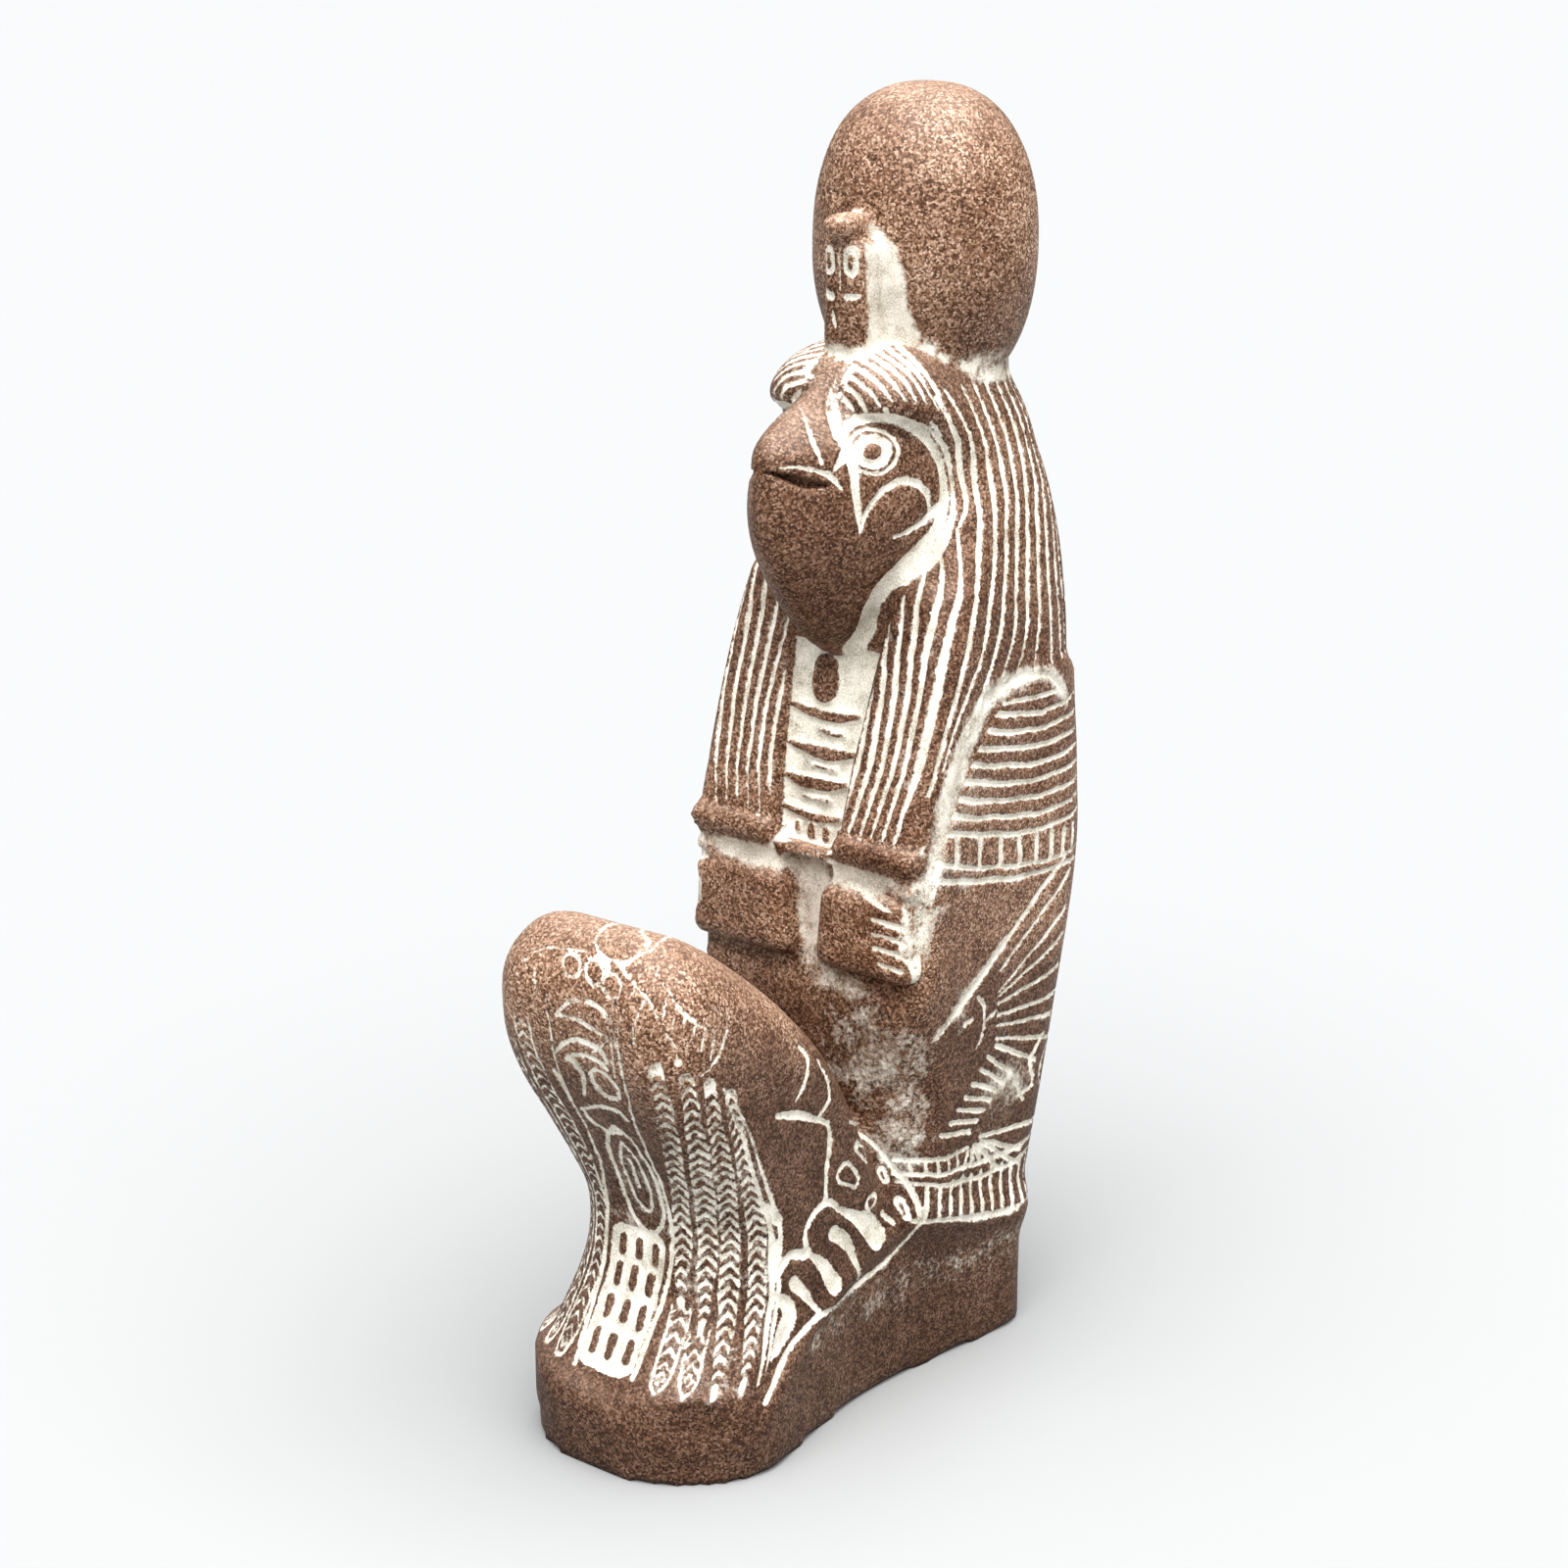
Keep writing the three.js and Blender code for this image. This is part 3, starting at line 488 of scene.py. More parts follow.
def braid(centre, top, thin, pitch=1.8, half=1.5):
    """One column down the path u = centre(z): cut ground with arrow heads left in it, and under the level
    thin the heads cut as lines between two fine side lines, with a rounded foot."""
    def across(z, share):
        return float(centre(z) + share * half), float(z)

    def heads(low, high, tall):
        return [(across(z - tall, -0.86), across(z + tall * 0.75, 0), across(z - tall, 0.86))
                for z in np.arange(low, high, pitch)]

    ground, left, fine = [], [], []
    if top > thin:
        start = max(thin, COLUMN_FOOT)
        ground = [line([across(z, 0) for z in np.linspace(start, top, 12)],
                       0.5, half, half, half - 0.05, half - 0.15, half - 0.4, step=2.5)]
        left = [line(head, 0.24, 0.44, 0.24, step=0) for head in heads(start + 1.7, top - 0.6, 0.8)]
    if thin:
        fine = [line(head, 0.12, 0.2, 0.12, step=0) for head in heads(17.4, thin, 0.75)]
        sides = [across(z, side * 0.95) for side in (-1, 1) for z in np.linspace(16, thin, 8)[::side]]
        foot = [across(14.6, -0.62), across(13.8, 0), across(14.6, 0.62)]
        fine.append(line(sides[:8] + foot + sides[8:], 0.16, 0.24, 0.24, 0.24, 0.16))
        ring = [across(15.9 + 0.8 * math.sin(t), 0.48 * math.cos(t))
                for t in np.linspace(0, 2 * math.pi, 9)]
        fine.append(line(ring, 0.18, 0.18))
    return ground, left, fine


BRAID_GROUND, BRAID_HEADS, BRAID_FINE = [], [], []
for way, top, thin in COLUMNS:
    ground, left, fine = braid(profile(COLUMN_LEVELS, way), top, thin)
    BRAID_GROUND += ground
    BRAID_HEADS += left
    BRAID_FINE += fine
SHIN = [line(p, *w) for p, w in (
    (((24.2, 62), (23.9, 55.3), (22.6, 49.4), (21.6, 43.7), (21.3, 39.6), (21.6, 30), (23.4, 21),
      (25.6, 14)), (0.15, 0.35, 0.4, 0.35, 0.6, 0.5, 0.3)),
    (((25.6, 61), (25.1, 54), (24, 47.6), (23, 41.4), (22.9, 37), (23, 30), (24.6, 21), (26.6, 15)),
     (0.15, 0.3, 0.3, 0.5, 0.5, 0.4, 0.2)),
    (((21.4, 39.5), (22.6, 37)), (0.9, 1.1)), (((22.2, 32.6), (22.4, 28)), (0.9, 0.5)))]

# The panel down the middle of the shins: rows of short raised bars on a cut ground, and plain rings above
PANEL_BARS = [line(((across, up + 1), (across + 0.1, up - 1)), 0.72) for up in (31, 26.7, 22.2, 17.6)
              for across in (-4.1 + 0.04 * (up - 17), -0.9 + 0.03 * (up - 17), 2.3 + 0.02 * (up - 17))]
PANEL = [line(p, *w) for p, w in (
    (((8.1, 75.6), (7.6, 73), (7.7, 70.6), (8.5, 68.3), (8.7, 65), (8.2, 61), (6.8, 53.2), (5.9, 44.3),
      (5.6, 36.9), (5.8, 31), (5.4, 25.5), (5, 19.9), (4.6, 14.6)), (0.12, 0.2, 0.25, 0.3, 0.4, 0.45, 0.4)),
    (((-4.3, 73.5), (-4.4, 71), (-4.3, 66.8), (-4.5, 61), (-4.6, 54), (-5.6, 43.7), (-6.8, 36.5),
      (-7.1, 27), (-6.8, 20), (-6.2, 14)), (0.12, 0.2, 0.25, 0.35, 0.4, 0.4)),
    (((1.8, 53.4), (-1.6, 49.6), (-2.6, 44), (-2.4, 38.6), (-0.6, 34.8), (2, 34), (4, 36.6), (4.8, 42),
      (4.8, 48), (3.9, 52), (1.8, 53.4)), (0.4, 0.4)),
    (((1.6, 50.2), (-0.4, 47), (-0.8, 42.6), (0, 38.6), (1.6, 37.4), (2.9, 40.4), (3, 45), (2.6, 48.6),
      (1.6, 50.2)), (0.3, 0.3)),
    (((1.2, 46.8), (1.1, 41.4)), (0.35, 0.35)))]
# Over the knee, in the same view and all fine: one plain ring and three small ones, crescents, a hook, two
# leaves, a feathered fan on the right, and short scratches on the left. First those that are arcs of ovals
KNEE = [line(arc(*oval), *wide) for oval, wide in (
    ((-19.8, 69.2, 3.9, 2.4), (0.2, 0.16)), ((-12.3, 66, 4, 4, 150, 25), (0.2, 0.14)),
    ((-28.5, 61.5, 8, 6.9, 60, 130), (0.15, 0.13)), ((-26.7, 66, 1.3, 1.9, 90, 450, 12), (0.24,)),
    ((-23.4, 65, 1.3, 1.9, 90, 450, 12), (0.24,)), ((-21.1, 63.4, 1.3, 1.9, 90, 450, 12), (0.24,)),
    ((-25.3, 56.4, 4.5, 4.9, 148, 5), (0.24, 0.36, 0.36, 0.2)),
    ((-25.8, 51.5, 4.2, 3.9, 150, 15), (0.25, 0.4, 0.34, 0.2)),
    ((-25.2, 50.4, 3.7, 2.9, 140, 20), (0.3, 0.32, 0.2)), ((-22.4, 49.2, 2.9, 1.2, 0, 360, -48), (0.28,)),
    ((-29.3, 48.6, 4, 4.5, 65, -20), (0.45, 0.36, 0.26)), ((-21.2, 46.6, 5.2, 4.9, 200, 280), (0.28,)),
    ((-23, 41.8, 4.4, 4, 135, 30), (0.24, 0.32, 0.22)),
    ((-10.5, 58.4, 5.3, 8, 18, -70), (0.13, 0.2, 0.14)))]
# Then the straight ones: beside the ring, the scratches, the crescents' ends, long lines down, and the fan
KNEE += [line(p, *w) for p, w in (
    (((-15.8, 69.6), (-18.8, 66.2)), (0.22,)), (((-20, 66.7), (-18.6, 64.5)), (0.45, 0.35)),
    (((-22.8, 67.4), (-21.5, 66), (-21.7, 64.7)), (0.5, 0.65, 0.3)),
    (((-32.1, 65), (-32.2, 61.6)), (0.13,)),
    (((-29.1, 59.1), (-24.9, 57.8), (-22, 56)), (0.25, 0.34, 0.22)),
    (((-32.8, 65.8), (-35.3, 64)), (0.17,)),
    (((-21.6, 55.8), (-23.9, 53.9)), (0.2,)), (((-29.7, 50.7), (-27.7, 46.3)), (0.26, 0.14)),
    (((-19.9, 63.6), (-21.2, 57), (-20.8, 50.4)), (0.16, 0.14)),
    (((-17.7, 63.9), (-19.9, 58), (-20.2, 52)), (0.16, 0.14)),
    (((-16.3, 62), (-17.6, 58.6), (-17.8, 55.4)), (0.16, 0.14)),
    (((-18, 63.9), (-15.8, 61.3), (-14.3, 58.6)), (0.25, 0.18)),
    (((-14.5, 58), (-12.5, 55.4), (-12, 52.9)), (0.2, 0.15)), (((-15.4, 66), (-14.4, 64.6)), (0.25,)),
    (((-14, 64), (-11.3, 60), (-6.8, 56.6)), (0.17, 0.28, 0.15)), (((-12, 52.9), (-12, 52.7)), (0.49,)),
    (((-11.7, 65.8), (-5.8, 58.9)), (0.14, 0.2, 0.12)), (((-14.8, 52.6), (-14.7, 52.6)), (0.43,)))]
KNEE += [line(((across, 68.4), (across - 1.5, 65.6)), 0.13) for across in (-35.2, -33.7, -32.3)]
# The fan's barbs hang from a line that falls 0.87 mm for each millimetre to the right
KNEE += [line(((across, 62.6 - fall), (across - 0.6, 59.5 - fall)), 0.18, 0.14)
         for across, fall in ((across, 0.87 * (across + 14)) for across in np.linspace(-13.4, -6.8, 6))]

# The chest between the wig ends: rounded ridges left on a cut ground, then a row of beads over the belt
CHEST_RIDGES = [line(p, *w) for p, w in (
    (((-7.1, 102.9), (-3.1, 102.3), (1, 102), (3.5, 102.4), (5.9, 102.8)), (0.3, 0.6, 0.7, 0.7, 0.3)),
    (((-6.3, 97.3), (-2.4, 96.8), (1.4, 96.7), (6, 97.3)), (0.3, 0.75, 0.85, 0.4)),
    (((-6.5, 92.8), (-3.3, 91.9), (0.8, 91.9), (5, 92.6)), (0.3, 0.85, 0.9, 0.4)),
    (((-6.4, 87.6), (-2.4, 86.9), (0.8, 86.9), (4.4, 87.3)), (0.3, 0.55, 0.6, 0.3)),
    (((-1, 99.9), (0.8, 99.4), (3.2, 99.8)), (0.1, 0.3, 0.2)), (((-1.6, 94.6), (2.4, 94.6)), (0.1, 0.22)),
    (((-2.6, 89.7), (1.8, 89.6)), (0.1, 0.25)), (((-3.4, 85.2), (-3.4, 84.4)), (0.4, 0.35)),
    (((-0.9, 85.3), (-0.9, 84.2)), (0.72, 0.72)), (((2, 85.3), (2, 84.2)), (0.74, 0.74)),
    (((4.7, 85.5), (4.7, 84.4)), (0.45, 0.45)))]
CHEST_BLOB = [line(((-1.6, 108.8), (-1.2, 106.6)), 2.3, 2.6)]

# The figure's left fist: a thumb line and four short finger strokes on its outer side
FIST = [line(p, *w) for p, w in (
    (((8.6, 79), (11.6, 78.4), (15, 77.4), (17.4, 76.8)), (0.6, 0.45, 0.35, 0.2)),
    (((14.2, 75.2), (16.8, 74.9), (19.4, 74.7)), (0.3, 0.45, 0.6)),
    (((14, 72.8), (16.6, 72.7), (19.4, 72.5)), (0.3, 0.35, 0.5)),
    (((14.2, 70.6), (16.8, 70.4), (19.4, 70.3)), (0.3, 0.4, 0.5)),
    (((15, 68.3), (17, 68.1), (19.4, 68)), (0.25, 0.3, 0.45)))]

# The cobra: oval marks on the hood, plainly set in pairs
COBRA_MARKS = [line(p, *w) for p, w in (
    (((-2.2, 170.1), (-2.2, 168.1)), (1.2, 1.25)), (((1.9, 170.2), (1.9, 168.2)), (1.25, 1.25)),
    (((-3, 164.6), (-1.6, 163.9)), (0.45, 0.55)), (((0.8, 164.1), (2.8, 164.4)), (0.55, 0.5)),
    (((-1.3, 161.8), (-0.9, 159.6)), (0.24, 0.2)), (((-0.2, 171.4), (-0.1, 165)), (0.14, 0.12)))]
COBRA_CORES = [line(((-2.2, 169.8), (-2.2, 168.3)), 0.45, 0.5),
               line(((1.9, 169.8), (1.9, 168.5)), 0.4, 0.45)]

# Small chips and pits in the disc, as (x, z, radius)
PITS = ((0.4, 183, 0.75), (-5.8, 177.8, 0.55))


def wobble(points, length, amount, seed):
    """A smooth unevenness in mm: three sine waves of about that length, crossed at odd angles."""
    turns = np.array(((1, 0.31, -0.22), (-0.27, 1, 0.41), (0.36, -0.19, 1))) * (2 * np.pi / length)
    phases = seed * np.array((1.7, 2.9, 4.1))
    crossed = 1.3 * np.sin(points[:, [1, 2, 0]] * 2.1 / length)
    return amount * np.sin(points @ turns.T + phases + crossed).mean(1)


def soft(value, edge):
    """From 0 at the edge to 1 once value is edge deep: 1 - (1 - value / edge) squared."""
    return 1 - (1 - np.clip(value / edge, 0, 1)) ** 2


def within(*areas):
    """Where all these areas meet, negative inside: the largest of their values."""
    return np.maximum.reduce(areas)


def carve(points):
    """At surface points: depth of cut (mm), distance to the nearest cut's edge (mm, negative in a cut), and
    from 0 to 1 the loose film of lime and the wear of the lime in the cuts."""
    # The strokes waver by a quarter of a millimetre, as cut by hand
    hand = np.stack([wobble(points, 9, 0.22, 1) + wobble(points, 3.4, 0.09, 2), wobble(points, 9, 0.22, 3),
                     wobble(points, 8, 0.22, 4) + wobble(points, 3.1, 0.09, 5)], 1)
    x, y, z = (points + hand).T
    ax = np.abs(x)
    own = {name: form(*points.T) for name, form, _ in FORMS}

    def region(*names):
        """Negative where one of these forms is the surface, positive where another one is."""
        rest = np.min([value for name, value in own.items() if name not in names], axis=0)
        return (np.min([own[name] for name in names], axis=0) - rest) * 0.7

    on_wig, on_head, on_face = region("wig", "lappets"), region("face", "wig"), region("face")
    on_torso, on_legs, on_cobra = region("torso"), region("legs"), region("cobra")
    depth, edge = np.zeros(len(x)), np.full(len(x), FAR)

    def cut(deep, wall, *areas):
        """Cut where these areas meet, to its full depth once wall from the edge: the deepest cut counts."""
        nonlocal depth, edge
        distance = within(*areas)
        depth = np.maximum(depth, deep * soft(-distance, wall))
        edge = np.minimum(edge, distance)

    # Head: hair, the border of the face, the eye's rings and marks, the mouth's slit and the brows
    hair_way = flat_round(x, y, wig_half(z), wig_front(z), wig_back(z), wig_edge(z), 13)
    hair = nearest(hair_way, z, HAIR + BACK_HAIR) + 0.14 * (x < 0) * ramp(z, 122, 112)
    in_gap = np.where((z < 124) & (y < 30), lappet_inner(z) + 0.7 - ax, -FAR)
    cut(0.5, 0.4, hair, on_wig, in_gap, z - 154.6)
    cheek_way = 0.49 * ax + 0.87 * y
    cut(0.55, 0.6, nearest(cheek_way, z, BORDER), -nearest(cheek_way, z, BORDER_RIDGE), y - 28)
    eye = np.hypot(cheek_way - 15.5, (z - 143.2) * 1.36)
    cut(0.35, 0.3, eye - 4.5, 1.5 - eye, 0.27 - np.abs(eye - 3.5), on_head)
    beak_side = nearest(cheek_way, z, BEAK_SIDE)
    cut(0.42, 0.4, np.minimum(nearest(cheek_way, z, EYE_MARKS), beak_side), on_head)
    cut(0.4, 0.4, nearest(cheek_way, z, BEAK_MARKS), on_face)
    mouth = within(nearest(cheek_way, z, MOUTH), on_face)
    depth = np.maximum(depth, 1.7 * soft(-mouth, 0.5))
    cut(0.35, 0.35, nearest(*view_map(ax, y, z), BROW), on_wig, y - 30, 140 - z)

    # Arm and hip
    arm_way = flat_round(x, y, torso_half(z), torso_front(z), torso_back(z), 2.5, 13)
    cut(0.45, 0.4, nearest(arm_way, z, SLEEVE + BEADS), on_torso)
    arm_edge = within(nearest(arm_way, z, ARM_OUTLINE + CHANNEL), region("torso", "wig"))
    cut(0.5, 0.6, arm_edge)
    beside_hand = within(nearest(y, z, HAND_CHANNEL), 19 - ax, -region("cuffs"))
    cut(0.35, 0.8, beside_hand)
    cut(0.42, 0.4, nearest(arm_way, z, WING), on_torso, 11.5 - ax)

    # Legs: the winding band and the ovals at the side, the columns and the panel in front, and the knee
    cut(0.45, 0.4, nearest(y, z, LEG_SIDE), 10.5 - ax)
    cut(0.4, 0.4, nearest(y, z, OVALS), -nearest(y, z, OVAL_CORES), 8 - x)
    shin_way = leg_round(x, y, z)
    on_shin = within(region("legs", "slab"), y + 8)
    braids = within(nearest(shin_way, z, BRAID_GROUND), -nearest(shin_way, z, BRAID_HEADS))
    cut(0.34, 0.3, np.minimum(braids, nearest(shin_way, z, SHIN)), on_shin)
    cut(0.16, 0.2, nearest(shin_way, z, BRAID_FINE), on_shin)
    cut(0.3, 0.3, nearest(shin_way, z, PANEL), on_shin, y + 22)
    ground = meet(np.abs(shin_way + 0.8 - 0.02 * (z - 24)) - 5.2, np.abs(z - 24.2) - 10, 2)
    cut(0.38, 0.5, ground, -nearest(shin_way, z, PANEL_BARS), on_shin)
    unseen = np.where((x < -5) & (z < thigh_top(y) - 5), y - shin_front(z) - 4.5, -FAR)
    knee = within(nearest(*view_map(x, y, z), KNEE), on_legs, y + 20, unseen)
    cut(0.16, 0.2, knee)

    # Chest, fists, cobra, and the pits in the disc
    chest = within(ax - lappet_inner(z) - 0.4, z - 112.5, 83.1 - z)
    keep = np.minimum(nearest(x, z, CHEST_RIDGES), nearest(x, z, CHEST_BLOB))
    cut(0.7, 0.6, chest, -keep, region("wig"), y - 24)
    cut(0.4, 0.4, nearest(x, z, FIST), region("fists", "wrists"), y - 11)
    cut(0.35, 0.35, nearest(x, z, COBRA_MARKS), -nearest(x, z, COBRA_CORES), on_cobra, y - 21)
    for across, up, radius in PITS:
        depth = np.maximum(depth, 1.1 * soft(-within(np.hypot(x - across, z - up) - radius, y - 34), 0.6))

    def beside(name, reach, fade=0.7):
        """1 within reach of a form on its neighbours, fading to 0 beyond it, and 0 on the form itself."""
        return np.exp(-np.maximum(own[name] - reach, 0) / fade) * (region(name) > 0)

    def halo(distance, width):
        """1 in a cut, fading to 0 around it over about that width: exp(-(distance / width)^2)."""
        return np.exp(-(np.maximum(distance, 0) / width) ** 2)

    def loose_patch(across, up, wide, tall, most):
        """On the torso's front and side: most * exp(-a^2 - b^2), a and b in shares of the patch's size."""
        a, b = (ax + np.maximum(y - 10, 0) - across) / wide, (z - up) / tall
        return most * np.exp(-a * a - b * b) * (on_torso < 0.5) * (x > 0) * ramp(y, 49, 45)

    on_disc, on_fists = region("disc") <= 0, region("fists")
    film = [
        # On the crown round the disc's foot, and up that foot
        0.6 * beside("disc", 0.6 + 0.3 * ramp(y, 20, 27) * ramp(y, 36, 29), 0.6) * ramp(z, 149.6, 151),
        0.36 * np.exp(-np.maximum(z - 154, 0) / 2.5) * on_disc * (z < 165)]
    # A wedge beside the cobra, wide at its foot, and the hood's own side and foot
    reach = profile((155, 157, 160, 168, 172, 175), (5.4, 4.6, 3.3, 2.3, 1.1, 0))(z)
    wedge = 0.66 * beside("cobra", reach, 0.7) * (x > 0) * (z > 154.5) * (z < 175)
    film += [wedge * np.where(on_disc, 1, own["cobra"] < 1.6),
             0.6 * (on_cobra < 0.4) * ramp(y, 17.6, 18.8) * (x > 2.4) * ramp(z, 173, 170),
             0.48 * (on_cobra < 0.4) * ramp(z, 158.4, 156.6)]
    # The wrists but not the thumb's knuckle, under the belt, round the fists and down between them
    wrist = (0.66 - 0.3 * ramp(ax, 14, 19)) * (region("wrists") < 0.1)
    wrist += 0.5 * beside("cuffs", 0.2, 0.4) * ramp(z, 80, 86)
    fist_top = 0.28 * (on_fists < 0) * ramp(z, 76.4, 78.6)
    film += [wrist * (1 - 0.9 * (np.hypot((ax - 18.7) / 2.7, (z - 79.7) / 1.7) < 1)),
             0.45 * beside("belt", 0.2, 0.5), 0.5 * beside("fists", 0.3, 0.6) * ramp(z, 66, 70) + fist_top,
             0.5 * np.exp(-(ax / 4.6) ** 4) * ramp(z, 60, 68) * ramp(z, 84, 80) * (on_fists > 0) * (y > 3)]
    # The lap and hip, in patches, and inside the wing's leading edge
    film += [loose_patch(*place) for place in (
        (14, 53, 13, 12, 0.37), (19, 42, 8, 8, 0.37), (6, 62.5, 9, 2.6, 0.5), (24, 76, 5, 2, 0.36),
        (22, 73, 3, 5, 0.34), (31, 60, 3, 6, 0.34), (44, 42, 6, 6, 0.4))]
    inside_wing = (z < 68) * (z > 54) * (z > 55.8 + 0.668 * (arm_way - 14.4)) * (on_torso < 0)
    film.append(0.42 * halo(nearest(arm_way, z, WING[:1]), 1.2) * inside_wing)
    # A haze on the slab's sides, down the middle of the shins, and between the columns beside it
    front_of_leg = ramp(y, -8, -18) * (on_legs < 0)
    shin_middle = (on_legs < 0) * (y < -22)
    film += [0.26 * np.exp(-((z - 15) / 6) ** 2) * (region("slab") < 0) * ramp(y, -28, -12),
             0.16 * ramp(z, 54, 44) * ramp(z, 31, 35) * shin_middle * (np.abs(shin_way + 0.4) < 6),
             0.06 * ramp(z, 50, 56) * ramp(z, 76, 72) * shin_middle * (np.abs(shin_way - 1.6) < 5.6),
             0.14 * front_of_leg * ramp(shin_way, 6, 8) * ramp(z, 60, 46) * ramp(shin_way, 26, 23)]
    # Round the arm's outline and channel, and between the front ends of the sleeve's bands
    film += [0.36 * halo(arm_edge, 1.3) * ramp(y, 49, 45),
             0.17 * (on_torso < 0) * (z > 75) * (z < 105) * ramp(arm_way, 36, 20)]

    # Lime is rubbed off most over the knee, on the braid above the shins' hollow, and beside the hands
    worn_braid = 0.36 * ramp(z, 36, 50) * (knee > 0) * ramp(shin_way, 6.5, 8.5)
    wear = 0.16 + front_of_leg * (0.08 * ramp(z, 50, 70) + worn_braid + 0.3 * ramp(shin_way, -6, -9))
    wear += 0.42 * (knee < 0.2) * ramp(z, 64, 71) + 0.4 * (beside_hand < 0.2)
    wear += 0.62 * (beak_side < 0.3) * (on_face < 0.6) * ramp(z, 146, 149)
    wear += (on_wig < 0) * np.where(x < 0, 0.17, 0.08)
    return depth, edge, np.maximum.reduce(film), np.clip(wear, 0, 1)


# The surface
# The ground skin of the block, as a grid of small cells that gets finer only where a cut's edge passes.


def skin(low, high, cell):
    """Surface nets: a point in each cell that the field crosses, at the mean of its crossed edges, and a
    face for each grid edge that the field crosses."""
    count = np.ceil((high - low) / cell).astype(int) + 1
    axes = [low[i] + cell * np.arange(count[i]) for i in range(3)]
    grid = np.stack(np.meshgrid(*axes, indexing="ij"), -1)
    value = stone(grid.reshape(-1, 3)).reshape(count)
    inside = value < 0
    corners = [(i, j, k) for i in (0, 1) for j in (0, 1) for k in (0, 1)]
    a, b, c = count - 1
    filled = sum(inside[i:a + i, j:b + j, k:c + k].astype(int) for i, j, k in corners)
    cells = np.argwhere((filled > 0) & (filled < 8))
    number = np.full(count - 1, -1)
    number[tuple(cells.T)] = np.arange(len(cells))
    total, crossings = np.zeros((len(cells), 3)), np.zeros(len(cells))
    for corner in corners:
        for axis in range(3):
            if corner[axis]:
                continue
            a = value[tuple((cells + corner).T)]
            b = value[tuple((cells + corner + np.eye(3, dtype=int)[axis]).T)]
            crossed = (a < 0) != (b < 0)
            share = np.where(crossed, a / np.where(crossed, a - b, 1), 0)
            spot = np.tile(np.array(corner, float), (len(cells), 1))
            spot[:, axis] += share
            total += spot * crossed[:, None]
            crossings += crossed
    points = (cells + total / crossings[:, None]) * cell + low
    faces = []
    for axis in range(3):
        first = [slice(None)] * 3
        second = [slice(None)] * 3
        first[axis], second[axis] = slice(0, -1), slice(1, None)
        ends = np.argwhere(inside[tuple(first)] != inside[tuple(second)])
        u, v = np.roll(np.eye(3, dtype=int), -axis - 1, 0)[:2]
        ring = [number[tuple((ends - p * u - q * v).T)] for p, q in ((1, 1), (0, 1), (0, 0), (1, 0))]
        quads = np.stack(ring, 1)
        outward = ~inside[tuple(ends.T)]
        quads[outward] = quads[outward][:, ::-1]
        faces.append(quads)
    quads = np.concatenate(faces)
    return points, np.concatenate([quads[:, [0, 1, 2]], quads[:, [0, 2, 3]]])


def edges_of(faces):
    """Each edge once, as a sorted pair of points, and for each face the numbers of its three edges."""
    pairs = np.sort(np.concatenate([faces[:, [0, 1]], faces[:, [1, 2]], faces[:, [2, 0]]]), axis=1)
    size = pairs.max() + 1
    keys, which = np.unique(pairs[:, 0] * size + pairs[:, 1], return_inverse=True)
    return np.stack([keys // size, keys % size], 1), which.reshape(3, -1).T


def halve(points, faces, edges, face_edges, chosen, middles):
    """Cut the chosen edges at their middles, and each face that has them into two, three or four."""
    added = np.full(len(edges), -1)
    added[chosen] = len(points) + np.arange(chosen.sum())
    points = np.concatenate([points, middles[chosen]])
    m = added[face_edges]
    count = (m >= 0).sum(1)
    out = [faces[count == 0]]
    for wanted in (1, 2):
        f, e = faces[count == wanted], m[count == wanted]
        # turn each face so that its one cut edge, or its one whole edge, comes at a known place
        odd = np.argmax(e >= 0, 1) if wanted == 1 else (np.argmax(e < 0, 1) + 1) % 3
        turn = (odd[:, None] + np.arange(3)) % 3
        (a, b, c), (p, q, _) = np.take_along_axis(f, turn, 1).T, np.take_along_axis(e, turn, 1).T
        if wanted == 1:
            out += [np.stack([a, p, c], 1), np.stack([p, b, c], 1)]
            continue
        out.append(np.stack([p, b, q], 1))
        short = ((points[a] - points[q]) ** 2).sum(1) < ((points[p] - points[c]) ** 2).sum(1)
        out += [np.where(short[:, None], np.stack([a, p, q], 1), np.stack([a, p, c], 1)),
                np.where(short[:, None], np.stack([a, q, c], 1), np.stack([p, q, c], 1))]
    (a, b, c), (p, q, r) = faces[count == 3].T, m[count == 3].T
    out += [np.stack(face, 1) for face in ((a, p, r), (p, b, q), (r, q, c), (p, q, r))]
    return points, np.concatenate(out)


